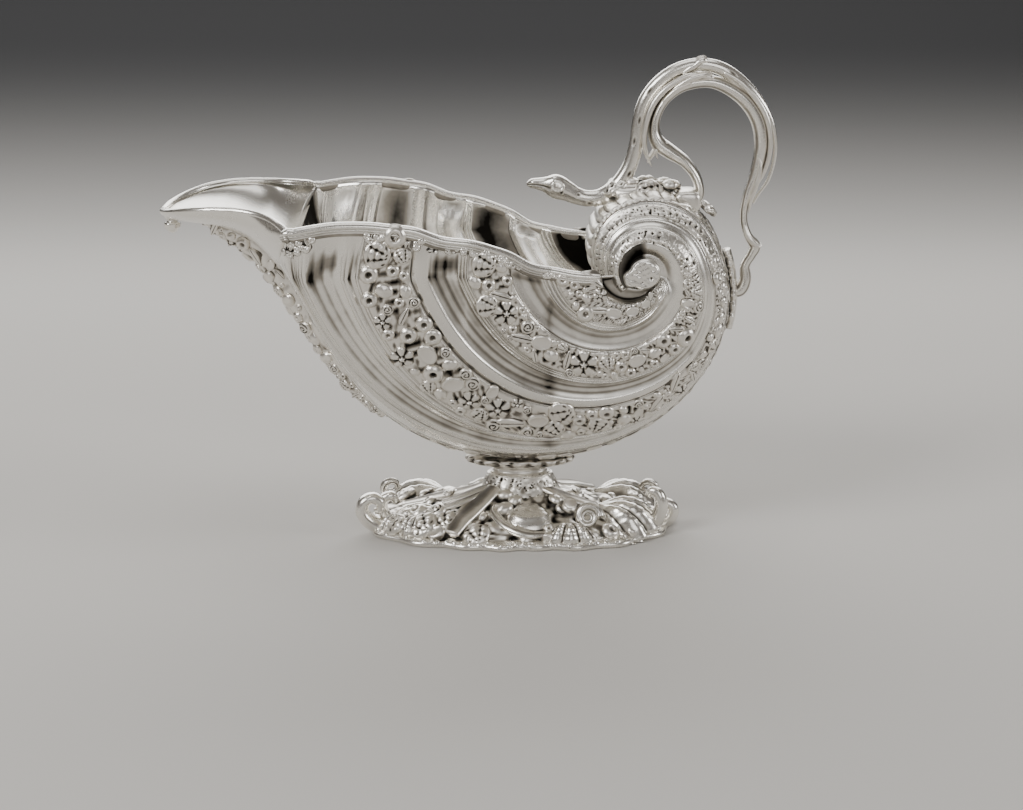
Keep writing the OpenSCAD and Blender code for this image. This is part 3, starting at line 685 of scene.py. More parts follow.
def eye(name, side):
    """A disc that a tongue of the coil's ridge runs into, with a worn and pitted face."""
    m, n = 128, 34
    th = np.radians(np.arange(m)*360/m)
    turn = (np.arange(m)*360/m + 100) % 360 - 100
    reach = 5.1 + 2.2*np.exp(-((turn - 20)/28)**4)
    rho = np.linspace(1, .02, n)[:, None]
    x, z = AX - reach*rho*np.cos(th), AZ - reach*rho*np.sin(th)
    p = np.stack([x, 0*x, z], -1)
    edge = smooth((1 - rho)*reach/1.1)
    y = 41.35 - .9*(1 - edge)**2 + .12*lumps(p, 2.2, 8)*edge
    # Painted shade: the face is darker on its rounded edge, where it falls away.
    dark = .25*(1 - edge)
    for px, pz, r0, deep in PITS:
        q = np.exp(-((x - AX - px)**2 + (z - AZ - pz)**2)/r0**2)
        y, dark = y - deep*q, np.maximum(dark, .9*q)
    rings = [np.stack([x[0], np.full(m, back), z[0]], -1) for back in (36.5, 40.2)]
    # Painted shade: the disc's side is painted darker towards its back, where it stands in the recess.
    t = np.concatenate([np.full(m, .8), np.full(m, .4), dark.reshape(-1)])
    part = (*skin(np.array([*rings, *np.stack([x, y, z], -1)])), t)
    return new_piece(name, *(part if side > 0 else mirrored(*part)))


eyes = [eye("volute_eye_disc_near", -1), eye("volute_eye_disc_far", 1)]
print("eyes", [len(o.data.polygons) for o in eyes])

# %% [markdown]
# The handle has two cast parts that wind together. The strap is a leafy ribbon that scrolls off the
# volute, loops over for the fingers and comes down to the back. The serpent's body runs over it, and
# its head looks along the bowl. Both are outlines carried along smooth paths of a few keys.

# %% The strap and its leaf strands
def bar(keys, steps, y=0.0):
    """Path, side, up and sizes along keys of (x, z, half width, half thickness, y)."""
    k = through(np.array([(q + (y,))[:5] for q in keys], float), np.linspace(0, len(keys) - 1, steps))
    path = np.stack([k[:, 0], k[:, 4], k[:, 1]], -1)
    t = along(path)
    side = unit(np.cross(np.cross(t, [0, 1, 0]), t))
    return path, side, np.cross(t, side), k[:, 2:4]


def rounded(p, m=32, grooves=0, depth=0.0):
    """A rounded box outline of half sizes 1, with grooves along it, and how deep each point lies."""
    th = around(m)
    c, s = np.cos(th), np.sin(th)
    r = (np.abs(c)**p + np.abs(s)**p)**(-1/p)
    g = .5 - .5*np.cos(grooves*th) if grooves else np.zeros(m)
    r = r*(1 - depth*g)
    return np.stack([r*c, r*s], -1), g


def limb(keys, steps, outline, deep, y=0.0):
    """An outline carried along a bar, rounded off at both ends."""
    path, side, up, size = bar(keys, steps, y)
    u = np.linspace(0, 1, steps)
    close = np.sqrt(np.clip(1 - np.maximum(0, np.abs(2*u - 1) - .985)/.015, .02, 1))
    return *skin(sweep(path, side, up, outline, size*close[:, None])), np.tile(.6*deep**2, steps)


STRAP = [(58.1, 115.5, 3.6, 2.0), (61.2, 117.4, 4.0, 1.9), (61.8, 120.6, 4.3, 1.7), (60.2, 125.4, 4.5, 1.8),
         (56.4, 130.0, 4.7, 2.1), (51.6, 133.2, 4.8, 2.6), (47.6, 136.2, 4.7, 2.7), (45.9, 140.4, 4.3, 2.1),
         (46.6, 146.0, 4.0, 1.8), (50.0, 151.9, 3.9, 1.9), (56.5, 156.2, 3.8, 2.1), (66, 157.0, 3.6, 2.2),
         (75.4, 152.2, 3.4, 2.6),
         (81.2, 144.8, 3.2, 2.7), (82.9, 136, 3.0, 2.6), (81.4, 126.6, 2.6, 2.2), (78.4, 117.5, 2.2, 1.6),
         (77.4, 110.5, 2.0, 1.3),
         (79.0, 104.4, 2.0, 1.4), (81.6, 100.4, 2.3, 2.0), (80.4, 97.2, 2.2, 1.7), (78.4, 93.4, 2.1, 1.7),
         (78.6, 88.4, 2.3, 2.1), (76.8, 84.8, 2.6, 2.2), (73.2, 84.2, 2.2, 1.8)]
o, g = rounded(3.2, 40, 4, .13)
strap = new_piece("handle_strap_ribbon", *limb(STRAP, 340, o, g))
o, g = rounded(2.4, 16)
# How far each pair of strands stands off the middle, then keys of x, z, half width and half
# thickness. Each strand ends in a point, as a leaf does.
STRANDS = [
    (2.6, [(66, 158.6, .8, .7), (58.3, 159.6, 1.2, 1.0), (52.6, 157.2, 1.6, 1.1), (48.2, 153.8, 1.9, 1.2),
           (45, 149.4, 2.0, 1.2), (43, 143.6, 1.9, 1.1), (42.4, 137.2, 1.5, .9), (43.4, 132.2, 1.0, .6),
           (45.2, 128.4, .15, .15)]),
    (1.2, [(64, 157.4, .6, .6), (56, 156.8, 1.2, .9), (50.2, 153.2, 1.6, 1.0), (46.8, 147.8, 1.7, 1.0),
           (45.2, 142, 1.6, .9), (45.4, 136.6, 1.2, .7), (47.3, 130.9, .15, .15)]),
    (2.8, [(50, 152.6, .5, .5), (53.6, 155.8, 1.3, .9), (58, 158.4, 1.8, 1.1), (62.2, 159.7, 1.6, .9),
           (65.8, 159.9, .15, .15)]),
    (3.0, [(47, 147, .4, .4), (49.6, 151.6, 1.2, .8), (53.4, 155.0, 1.5, .9), (57.2, 156.8, 1.1, .6),
           (59.6, 157.8, .15, .15)]),
    (2.2, [(69, 160.6, .6, .6), (74.6, 157.4, 1.2, 1.0), (79.8, 152.2, 1.5, 1.1), (83.9, 145.6, 1.5, 1.0),
           (85.6, 138.4, 1.3, .9), (85.2, 131.4, 1.1, .8), (83.2, 125.2, .8, .6), (80.6, 120.6, .15, .15)]),
    (2.0, [(81.6, 133, .5, .5), (82.4, 127.8, 1.3, .8), (81.2, 122.0, 1.5, .9), (79.6, 116.8, 1.1, .7),
           (79.0, 112.4, .15, .15)]),
    (1.6, [(77.6, 108, .5, .5), (78.6, 104.6, 1.2, .8), (80.6, 101.8, 1.4, .9), (82.8, 100.6, 1.0, .7),
           (83.8, 101.4, .15, .15)])]
parts = [limb(keys, 80, o, g, side*off) for off, keys in STRANDS for side in (-1, 1)]
# A leaf that hangs forward off the strap's widest turn, and a small one behind it.
parts.append(limb([(50.5, 137.0, 3.4, .7), (47.0, 134.4, 3.6, .9), (44.9, 131.6, 2.4, .8),
                   (43.8, 129.4, .2, .2)], 40, o, g))
leaves = new_piece("handle_leaf_strands", *merge(parts))
print("strap", len(strap.data.polygons), "leaves", len(leaves.data.polygons))

# %% The serpent, with its brow, eyes and mouth
def put_ball(at, r0, stretch, d, w, n, dark):
    v, f = ball(18, 12)
    return set_down(v*stretch, at, d, w, n, r0), f, dark


SNAKE = [(2.3, 122.1, .5, .5), (3.6, 122.2, 1.7, 1.5), (5.6, 122.2, 2.3, 1.9), (8.6, 121.9, 3.0, 2.6),
         (11.2, 121.3, 3.7, 3.7), (13.4, 120.8, 3.9, 4.1), (16.2, 119.6, 3.4, 3.5),
         (19.2, 118.1, 2.9, 3.0), (23, 117.1, 2.8, 2.8), (27.4, 117.4, 2.9, 2.9), (31.6, 119.8, 2.9, 2.9),
         (35.2, 123.7, 2.8, 2.8), (38.0, 129.0, 2.65, 2.65), (39.9, 136.4, 2.5, 2.5),
         (40.7, 144.2, 2.35, 2.35), (42.9, 151.2, 2.35, 2.35), (47.6, 157.2, 2.4, 2.4), (54, 161.4, 2.35, 2.35),
         (61.4, 163.0, 2.25, 2.25), (69.0, 161.3, 2.35, 2.35),
         (75.8, 156.4, 2.4, 2.4), (81.6, 150.2, 2.0, 2.0), (85.6, 144, 1.2, 1.2), (87.5, 137.4, .75, .75),
         (87.4, 130.6, .65, .65), (85.6, 123.6, .6, .6), (82.4, 118.6, .5, .5), (80.6, 115.4, .5, .5)]
N, HEAD = 460, 130
path, side, up, size = bar(SNAKE, N)
th = around(40)
z = np.sin(th)[None]*np.sign(up[10, 2])
x = path[:, :1]
is_head = (np.arange(N) < HEAD)[:, None]
mouth = np.exp(-((z + .05 + .10*smooth((x - 3)/7))/.09)**2)*smooth((11.6 - x)/1.6)*is_head
brow = np.exp(-((x - 10.6)/1.9)**2)*np.exp(-((z - .8)/.32)**2)*is_head
snout = np.exp(-((x - 4.3)/1.2)**2)*np.exp(-((z - .55)/.5)**2)*is_head
jaw = np.exp(-((x - 9)/3.5)**2)*np.exp(-((z + .8)/.35)**2)*is_head
swell = 1 - .24*mouth + .24*brow + .14*snout + .06*jaw
dark = .95*mouth
# Worn oval marks along the body, chased into both sides.
MARKS = [(92, -.2), (122, .3), (140, -.5), (168, .1), (196, -.3), (222, .4), (238, 0), (262, .3), (300, -.2),
         (330, .3)]
for u, height in MARKS:
    q = np.exp(-(((np.arange(N) - u)/3.4)**2)[:, None] - ((z - height)/.22)**2)
    swell, dark = swell - .07*q, np.maximum(dark, .85*q)
o = np.stack([np.cos(th), np.sin(th)], -1)*swell[..., None]
snake_parts = [(*skin(sweep(path, side, up, o, size)), dark.reshape(-1))]
eye_parts = []
for s in (-1, 1):
    d, n = np.array([1.0, 0, -.1]), unit(np.array([-.12, s, .16]))
    w = np.cross(n, d)
    at = np.array([12.9, s*3.42, 121.7])
    # The eye's ring is a tube bent round it, painted darker on the half that sinks into the head, a painted
    # shade.
    # Its cup is a flat ball painted black round the eyeball, a painted shadow.
    bend_, tube = (np.linspace(0, 2*pi, m, endpoint=False)[:, None] for m in (28, 12))
    center = at + 1.95*(np.cos(bend_)*d + .85*np.sin(bend_)*w)
    radial = unit(center - at)
    torus = (center[:, None] + .46*(np.cos(tube)*radial[:, None] + np.sin(tube)*n)).reshape(-1, 3)
    i, j = np.meshgrid(np.arange(28), np.arange(12), indexing="ij")
    i2, j2 = (i + 1) % 28, (j + 1) % 12
    q = np.stack([i*12 + j, i2*12 + j, i2*12 + j2, i*12 + j2], -1).reshape(-1, 4)
    snake_parts.append((torus, q if s < 0 else q[:, ::-1], np.tile(.5 - .5*np.sin(tube[:, 0]), 28)))
    snake_parts.append(put_ball(at - n*.35, 1.75, (1, .85, .3), d, w, n, 1))
    eye_parts.append(put_ball(at + n*.15, .68, (1, 1, .9), d, w, n, 0))
serpent = new_piece("serpent_body", *merge(snake_parts))
serpent_eyes = new_piece("serpent_eye_balls", *merge(eye_parts))
print("serpent", len(serpent.data.polygons))

# %% The bud on top, and free placing of ornaments
def axes(d, n):
    """Unit directions: d made square to n, the one across both, and n."""
    n = unit(np.array(n, float))
    d = unit(np.array(d, float) - n*np.dot(d, n))
    return d, np.cross(n, d), n


def put(kind, at, n, d, size):
    """An ornament anywhere: at a point, standing along n, turned towards d."""
    v, f, t = KINDS[kind]
    return set_down(v, at, *axes(d, n), size), f, t


BUD = [(54.8, 159.8, .6, .7), (57.4, 161.6, 1.3, 1.2), (59.4, 163.2, 1.5, 1.3), (60.8, 164.5, 1.7, 1.4),
       (62.4, 165.0, 1.5, 1.2), (63.8, 164.4, .6, .5)]
bud_parts = []
for y, lean in ((0, 0), (-1.3, -.5), (1.3, -.5)):
    keys = [(x, z + lean*(i > 1), w, h) for i, (x, z, w, h) in enumerate(BUD)]
    bud_parts.append(limb(keys, 40, *rounded(2.0, 20, 2, .1), y))
bud = new_piece("handle_bud_cast", *merge(bud_parts))

# %% The leaf, coral and beads at the strap's root
r = np.random.default_rng(5)
# Place, the direction it stands along, the one it points to, size, kind.
ROOT = [
    ((39, -5, 120.4), (-.15, -.5, 1), (1, -.2, .2), 6.5, "leaf"),
    ((38, 4, 121), (-.1, .5, 1), (1, .2, .2), 6.5, "leaf"),
    ((33, -1, 121.2), (-.6, -.3, 1), (-1, 0, 0), 5.0, "scallop"),
    ((44, -7, 119.6), (.1, -.9, .8), (1, 0, 0), 5.2, "scallop"),
    ((44, 7, 119.6), (.1, .9, .8), (1, 0, 0), 5.2, "scallop"),
    ((51.6, -4, 122.6), (0, -.4, 1), (1, 0, 0), 2.8, "pebble"),
    ((50, 4, 122), (0, .4, 1), (1, 0, 0), 3, "turban"),
    ((52, 0, 121.6), (0, 0, 1), (1, 0, 0), 3.6, "limpet"),
    ((38.5, -2, 123.2), (0, -.2, 1), (1, 0, 0), 2.6, "pebble"),
    ((42.6, 2, 123.4), (0, .2, 1), (1, .3, 0), 2.4, "pebble"),
    ((46.5, -1.5, 122.6), (0, -.2, 1), (1, .3, 0), 2.6, "limpet"),
    ((57, -5.2, 116.6), (.2, -1, .5), (1, 0, -.4), 4.6, "dish"),
    ((57, 5.2, 116.6), (.2, 1, .5), (1, 0, -.4), 4.6, "dish"),
    ((64.2, -2.4, 114.6), (1, -.4, .8), (0, 0, 1), 2.6, "pebble"),
    ((66.4, .5, 112.6), (1, 0, .7), (0, 0, 1), 2.4, "limpet"),
    ((64, 3.2, 114), (1, .5, .8), (0, 0, 1), 2.4, "pebble")]
parts = [put(kind, at, n, d, size) for at, n, d, size, kind in ROOT]
for i in range(60):
    x = r.uniform(32, 67)
    y = r.uniform(-7.5, 7.5)
    z = AZ + 21.4*np.sqrt(max(0, 1 - ((x - 47)/25)**2)) - .02*y*y + r.uniform(0, 1.8)
    d = (r.uniform(-1, 1), r.uniform(-1, 1), 0)
    parts.append(put(("pebble", "limpet", "leaf")[i % 3], (x, y, z), ((x - 47)/20, y/12, 1), d,
                     r.uniform(1.0, 2.1)))
# They stand round a block with rounded corners that lies across the strap's root.
q = around(36)
c, z = (np.sign(w)*np.abs(w)**.6 for w in (np.cos(q), np.sin(q)))
BLOCK = [(-1, .5), (-.97, .75), (-.9, .92), (-.75, 1), (0, 1.04), (.75, 1), (.9, .92), (.97, .75), (1, .5)]
block = [np.stack([57.2 + w*4.6*c, -2.4 + 7.4*y + 0*q, 117.0 + w*3.7*z], -1) for y, w in BLOCK]
parts.append((*skin(block), .1))
cluster = new_piece("handle_root_cluster", *merge(parts))
print("cluster", len(cluster.data.polygons))

# %% The leaf plate on the back, and the stub that joins the strap to it
n, m = 70, 17
a = np.linspace(139, 181, n)[:, None]
s = np.linspace(-1, 1, m)[None]
half = .30*(np.sin(pi*np.clip((a - 138)/44, 0, 1))**.5)*(1 + .25*np.sin(a*1.1))
rib = np.exp(-(s/.16)**2)
faces = [far_half(on_sheet(np.abs(s)*half, a, high), s) for high in (3.0 + .5*rib - .9*np.abs(s)**2, .8)]
plate = new_piece("handle_back_leaf", *sheet(*faces), sheet_dark(.4*np.abs(s)**3 + 0*a, .8))
o, g = rounded(2.2, 28)
STUB = [(70.6, 84.0, 2.6, 2.8), (72.4, 84.0, 2.2, 2.3), (74.2, 84.2, 2.5, 2.7), (76.0, 84.4, 2.0, 2.2)]
stub = new_piece("handle_stub_block", *limb(STUB, 24, o, g))

# %% [markdown]
# Under the bowl comes a short oval stem: a scalloped pitted flange, a plain hollow neck and a knop of
# rock. Each is a stack of oval rings whose half lengths come from a few keys.

# %% The stem
def ovals(keys, lobes, depth, rough, seed, n=40, m=96, pits=0.0):
    """A stack of oval rings with keys of (z, half length, half width)."""
    k = through(np.array(keys, float), np.linspace(0, len(keys) - 1, n))
    th = around(m)
    x, y = k[:, 1:2]*np.cos(th), k[:, 2:3]*np.sin(th)
    z = k[:, :1] + 0*x
    p = np.stack([x, y, z], -1)
    inside = np.sin(np.linspace(0, pi, n))[:, None]
    rock, pit = lumps(p, 3.2, seed), lumps(p, 1.5, seed + 5)
    w = 1 + depth*inside*np.cos(lobes*th) + rough*inside*rock - pits*inside*smooth((pit - .55)/.3)
    dark = np.clip(.2 + 8*rough*(.6 - rock), 0, .5)*inside + .8*(pits > 0)*smooth((pit - .45)/.3)
    return *skin(np.stack([x*w, y*w, z], -1)), dark.reshape(-1)


FLANGE = [(21.6, 10.6, 6.8), (22.2, 14.5, 8.4), (22.9, 18, 9.8), (24.0, 19.2, 10.6), (25.0, 18.6, 10.5),
          (25.4, 16, 9)]
flange = new_piece("stem_flange_scalloped", *ovals(FLANGE, 20, .03, .012, 3, pits=.05))
NECK = [(18.4, 11.4, 7.9), (18.9, 11.6, 8.1), (19.3, 10.2, 6.9), (19.9, 9.6, 6.3), (20.8, 9.6, 6.3),
        (21.5, 10.6, 7.0), (21.9, 12.2, 7.8), (22.5, 12.6, 8)]
neck = new_piece("stem_neck_oval", *ovals(NECK, 0, 0, 0, 4))
KNOP = [(9.4, 13.6, 11), (11, 14.6, 11.6), (13.6, 13.8, 10.6), (16, 13.0, 9.4), (18.4, 11.6, 8.2),
        (19.4, 10.6, 7.2)]
knop = new_piece("stem_knop_rock", *ovals(KNOP, 3, .012, .02, 5, 60, 160, pits=.09))
print("stem", len(flange.data.polygons), len(neck.data.polygons), len(knop.data.polygons))

# %% [markdown]
# The foot is a low reef: a plate and a rocky mound, with cast shells, a snail, a great wave and
# bands of kelp laid over it. A shell is a fan: ribs spread from its hinge over a dome.

# %% A fan shell and a ribbon that bends any way
def fan(at, d, n, length, width, high, ribs, rings=30, cols=73, thick=1.6, rib=.1, edge=.07, drop=.35):
    """A fan shell from its hinge at a point, opening towards d, with its back towards n."""
    u, w = np.linspace(0, 1, rings)[:, None], np.linspace(-1, 1, cols)[None]
    wave = np.abs(np.cos(ribs*pi/2*w))**.8 if ribs else 0*w + 1
    reach = 1 + edge*wave - .14*w**2
    x = length*u**.85*reach*np.cos(1.2*w*(1 - .35*u))
    y = width/2*np.sin(1.35*w)*u**.7*(1 + .04*wave)
    dome = (np.sin(pi*(.12 + .80*u))**.8)*(1 - .75*np.abs(w)**3) - drop*u**3
    z = high*dome*(1 - rib + rib*wave*smooth(u*3)) + .12*np.sin(u*38)*smooth(u*2)
    faces = [set_down(np.stack(q, -1), at, *axes(d, n)) for q in ((x, y, z), (x*.97, y*.95, z - thick))]
    return *sheet(*faces), sheet_dark(.75*(1 - wave)**2*smooth(u*4) + .5*np.abs(w)**8, .8)


def ribbon(keys, steps, outline, deep, up=(0, 0, 1)):
    """An outline carried along keys of (x, y, z, half width, half thickness)."""
    k = through(np.array(keys, float), np.linspace(0, len(keys) - 1, steps))
    path = k[:, :3]
    side = unit(np.cross(up, along(path)))
    rings = sweep(path, side, np.cross(along(path), side), outline, k[:, 3:5])
    return *skin(rings), np.tile(.65*deep**2, steps)


def spiral(at, d, n, r0, turns, thick, shrink, rise, steps, outline, deep):
    """A tapering coil such as a snail or a rolled leaf, wound in the plane of d and n."""
    d, n = unit(np.array(d, float)), np.array(n, float)
    n = unit(n - d*np.dot(n, d))
    axis = np.cross(d, n)
    a = np.linspace(0, turns*2*pi, steps)
    r = r0*shrink**(a/(2*pi))
    path = set_down(np.stack([r*np.cos(a), r*np.sin(a), rise*(1 - r/r0)], -1), at, d, n, axis)
    size = thick*shrink**(a/(2*pi))*smooth((turns*2*pi - a)/.4 + .15)
    rings = sweep(path, np.broadcast_to(axis, path.shape), np.cross(along(path), axis), outline, size[:, None])
    return *skin(rings), np.tile(.6*deep**2, steps)


# %% The plate and the rocky mound
HALF_X, HALF_Y = 54, 34.5  # the plate's half length and half width


def coast(z, scale, m=180):
    """The plate's wavy outline at one height."""
    th = around(m)
    r = (np.abs(np.cos(th)/HALF_X)**2.5 + np.abs(np.sin(th)/HALF_Y)**2.5)**(-1/2.5)
    r = r*scale*(1 + .02*np.cos(18*th)*(scale > .9) + .015*np.cos(7*th))
    return np.stack([r*np.cos(th), r*np.sin(th), z + 0*th], -1)


def on_floor(parts, lowest=.4):
    """Parts cast on the foot as one. None of them goes under the plate's flat underside."""
    v, f, t = merge(parts)
    z = v[:, 2]
    return np.stack([v[:, 0], v[:, 1], np.where(z < lowest, lowest + .02*(z - lowest), z)], -1), f, t


def on_foot(name, parts):
    return new_piece(name, *on_floor(parts))


EDGE = [(0, .96), (.1, .985), (.6, 1), (1.5, 1.0), (2.1, .985), (2.5, .95), (2.7, .93), (2.9, .9), (3, .86),
        (3, .7)]
v, f = skin([coast(z, scale) for z, scale in EDGE])
beads = []
for i, (x, y, z) in enumerate(coast(1.9, .965, 84)):
    size = 1.25 + .5*((i*7) % 5)/5
    beads.append(put(("pebble", "limpet", "pebble")[i % 3], (x, y, z), (x/54, y/35, 1.4), (-y, x, 0), size))
foot_plate = new_piece("foot_plate_beaded", *merge([(v, f, .1), on_floor(beads)]))

n, m = 60, 200
u = np.linspace(0, 1, n)[:, None]
th = around(m)
# The mound's half length, half width and height, from its edge to its top.
MOUND = [[51, 49, 40, 28, 18, 11], [31, 30, 26, 20, 14, 9], [1.6, 4.2, 6.2, 8.6, 11.2, 13]]
half_x, half_y, z = (np.interp(u, [0, .15, .4, .62, .82, 1], keys) for keys in MOUND)
p = np.stack([half_x*np.cos(th), half_y*np.sin(th), z + 0*th], -1)
rock = lumps(p, 9, 21)
fine = lumps(p, 3.5, 22)
w = 1 + .05*rock
p = p*np.stack([w, w, 1 + 0*w], -1)
p[..., 2] += (.35*fine + .7*rock)*smooth(u*5)*smooth((1 - u)*6)
v, f = skin(p)
mound_parts = [(v, f, np.clip(.3 - .25*fine - .2*rock, 0, .8).reshape(-1))]
r = np.random.default_rng(31)
for i in range(46):
    j, k = r.integers(6, 52), r.integers(0, m)
    q = p[j, k]
    kind, d = ("limpet", "pebble", "turban", "pebble")[i % 4], (r.uniform(-1, 1), r.uniform(-1, 1), 0)
    mound_parts.append(put(kind, q, (q[0]/50, q[1]/30, .8), d, r.uniform(1.8, 3.2)))
foot_mound = on_foot("foot_mound_rock", mound_parts)
print("plate and mound", len(foot_plate.data.polygons), len(foot_mound.data.polygons))

# %% The four great shells at the corners, with rolled leaves at the two ends
o, g = rounded(3.0, 28, 5, .16)


def curl(side, keys, inner):
    """An upright leaf rolled at its top like an ear, with a thin dark mouth."""
    leaves_ = [[(side*x, y, z, h*1.7, w*1.1) for x, y, z, w, h in k] for k in (keys, inner)]
    return [ribbon(k, 90, *rounded(2.2, 28), (0, 1, 0)) for k in leaves_]


EAR = [(49.5, -13, 2.2, 3.4, 1.5), (53.2, -13.6, 4.6, 3.6, 1.5), (55.6, -14, 8.2, 3.5, 1.4),
       (54.8, -14.2, 11.8, 3.1, 1.3), (51.6, -14.2, 13.2, 2.6, 1.2), (49.0, -14, 11.4, 2.2, 1.1),
       (49.4, -13.8, 8.8, 1.7, .9), (51.2, -13.6, 8.2, .9, .6)]
EAR_2 = [(46, -9, 3, 2.6, 1.2), (48.6, -9, 7, 2.8, 1.2), (48.4, -9.4, 11.2, 2.4, 1.1),
         (45.4, -9.6, 12.6, 1.9, 1), (43.6, -9.4, 10.4, 1.2, .7)]
SPIRE = [(46.4, -13.5, 2.4, 3.2, 1.5), (48.6, -14.6, 6.6, 3.2, 1.5), (49.6, -15.4, 11.2, 2.8, 1.4),
         (48.6, -15.6, 15.0, 2.1, 1.2), (46.2, -15.2, 16.0, 1.4, .9), (44.8, -14.6, 14.2, .7, .6)]
HOLLOW = [(50.6, -8, 2.2, 2.4, 1.2), (53.8, -8.6, 4.6, 2.6, 1.2), (54.4, -8.8, 8.0, 2.4, 1.1),
          (51.8, -8.8, 9.8, 2.0, 1), (49.8, -8.6, 8.0, 1.4, .8)]
foot_left = on_foot("foot_shell_left_fan", curl(-1, EAR, EAR_2) + [
    fan((-27, -9, 6.0), (-1, -.35, .02), (-.15, -.25, 1), 21, 20, 6.2, 4, rib=.2),
    fan((-35, -17, 7.2), (-.6, -1, -.1), (-.2, -.5, 1), 9.5, 11, 3.6, 4, 24, 49, rib=.24, edge=.12),
    fan((-42, -13, 6.6), (-.8, -1, -.1), (-.3, -.5, 1), 9.0, 10, 3.4, 4, 24, 49, rib=.24, edge=.12)])
foot_right = on_foot("foot_shell_right_fan", curl(1, SPIRE, HOLLOW) + [
    fan((27, -11.5, 8.0), (1, -.42, -.05), (.05, -.4, 1), 21, 23, 7.4, 4, 36, 81, rib=.17, edge=.1),
    fan((31, -19, 5.2), (1, -.7, -.1), (.1, -.8, 1), 13, 13, 3.4, 4, 24, 61, rib=.2, edge=.12)])
foot_back_left = on_foot("foot_shell_back_left_fan", [
    fan((-26, 14, 4.8), (-1, .55, .02), (-.1, .3, 1), 25, 26, 8.2, 5, rib=.17),
    spiral((-47, 18, 7.6), (.8, .3, -.4), (-.4, .2, -.8), 3.8, 1.3, 1.8, .55, 0, 80, o, g)])
foot_back_right = on_foot("foot_shell_back_right_fan", [
    fan((27, 14, 4.8), (1, .5, .02), (.1, .3, 1), 25, 26, 8.2, 5, rib=.17),
    spiral((47, 17, 7.6), (-.8, .3, -.4), (.4, .2, -.8), 3.8, 1.3, 1.8, .55, 0, 80, o, g)])
clam_parts = [fan((17, -23.5, 6.4), (.05, -1, -.1), (0, -.5, 1), 9.5, 19, 4.6, 4, 36, 97, rib=.34, edge=.16),
              fan((17, -24, 4.2), (.05, -1, -.35), (0, -.8, 1), 8.5, 18, 3.4, 4, 30, 89, rib=.3, edge=.14)]
foot_clam = on_foot("foot_clam_lobed", clam_parts)
print("corner shells", [len(o_.data.polygons)
                        for o_ in (foot_left, foot_right, foot_back_left, foot_back_right, foot_clam)])

# %% The wave, the snail and the kelp
def wave_shell(side):
    at = (2.5 if side < 0 else -1.5, side*11.5, 9.0)
    return fan(at, (-.05*side, side, 0), (0, side*.45, 1), 19, 25, 6.4, 0, 34, 61, thick=2.4, drop=.75)


o2, g2 = rounded(2.4, 24, 4, .12)
mussel = on_foot("foot_wave_shells", [wave_shell(-1), wave_shell(1),
    ribbon([(-9, -15, 10.2, 1.4, 1.2), (-8.6, -20, 9.0, 1.9, 1.5), (-5, -26, 6.6, 2.2, 1.7),
            (2, -29.6, 4.6, 2.1, 1.7), (9, -28.8, 4.4, 1.3, 1.1)], 60, o2, g2)])
snail = new_piece("foot_snail_coiled", *spiral(
    (23.6, -23.0, 9.0), (1, 0, 0), (0, .4, .92), 4.3, 2.4, 1.8, .56, -1.6, 220, *rounded(2.0, 22, 3, .08)))
o3, g3 = rounded(2.2, 40, 2, .07)
KELP = [[(-9.5, -7.4, 14.6, 3.2, 1.5), (-11.6, -10.4, 13.4, 4.0, 1.7), (-14.6, -14.2, 11.4, 4.4, 1.8),
         (-18, -18.4, 9.2, 4.4, 1.8), (-21.6, -23.4, 7.0, 4.2, 1.7), (-24.4, -28.4, 4.4, 3.4, 1.4)],
        [(8, -5, 14.6, 2.6, 1.2), (16, -9, 12.2, 3.2, 1.4), (24, -9.6, 9.6, 3.3, 1.4),
         (31.5, -6.5, 6.4, 2.4, 1.2)],
        [(-9, 3, 14.4, 3.4, 1.2), (-18, 4, 10.6, 4.2, 1.4), (-30, 2.4, 8.4, 4.2, 1.4), (-42, 4, 5.2, 3, 1.2)],
        [(6, 7, 14.6, 3.4, 1.2), (12, 15, 10.2, 4.4, 1.4), (19, 24, 7.2, 4.4, 1.4), (26, 31, 4, 3, 1.1)],
        [(-10, -5, 15.2, 1.6, .9), (-15, -8.4, 14.2, 2.2, 1.1), (-21, -11.4, 12.6, 2.2, 1.1),
         (-27.4, -12.4, 10.8, 1.4, .8)],
        [(-12, -8, 14.4, 1.4, .8), (-18, -13, 12.4, 1.9, 1), (-24.4, -16, 10.8, 1.9, 1),
         (-31, -17.2, 9.4, 1.4, .7), (-35, -19, 8.0, .8, .5)]]
kelp = on_foot("foot_kelp_bands", [ribbon(k, 90, o3, g3) for k in KELP])
small = []
r = np.random.default_rng(44)
# Place, turn, size, kind.
SMALL = [
    (-27, -21.5, 6.6, 100, 4.8, "scallop"), (-34, -23, 5.4, 110, 5.4, "scallop"),
    (-29, -17, 9.0, 100, 3.6, "turban"), (-36, -15.5, 8.4, 0, 3.8, "limpet"),
    (-43.6, -18.5, 4.8, 200, 4.4, "scallop"), (-15, -29.4, 4.2, 95, 4.6, "scallop"),
    (-5.6, -17.4, 10.4, 20, 3.4, "pebble"), (-29, -27.5, 4.6, 10, 3.4, "dish"),
    (-39.4, -22, 4.6, 10, 3.0, "turban"), (39, -4, 6.2, -30, 4.6, "scallop"),
    (-5.4, -10.8, 13.4, 0, 3.0, "pebble"), (13, -11.5, 12.0, 10, 3.0, "limpet"),
    (17.4, -15.6, 10.8, 80, 3.8, "dish"), (31.5, -25.0, 4.4, 0, 3.4, "limpet"),
    (40, -22.5, 4.0, 40, 3.4, "pebble"), (-14, 29, 4.6, -80, 5, "scallop"),
    (10, 29.5, 4.6, -100, 5, "scallop"), (-42, 12, 5.4, 160, 5, "scallop"),
    (43, 9, 5.2, 20, 4.8, "scallop"), (-3, 30.5, 4.6, 0, 3, "limpet"), (21, 29.5, 4.4, 0, 2.6, "pebble"),
    (-32, 25, 4.6, 0, 2.8, "turban")]
for x, y, z, turn, size, kind in SMALL:
    small.append(put(kind, (x, y, z), (x/60, y/40, 1), (cos(radians(turn)), sin(radians(turn)), 0), size))
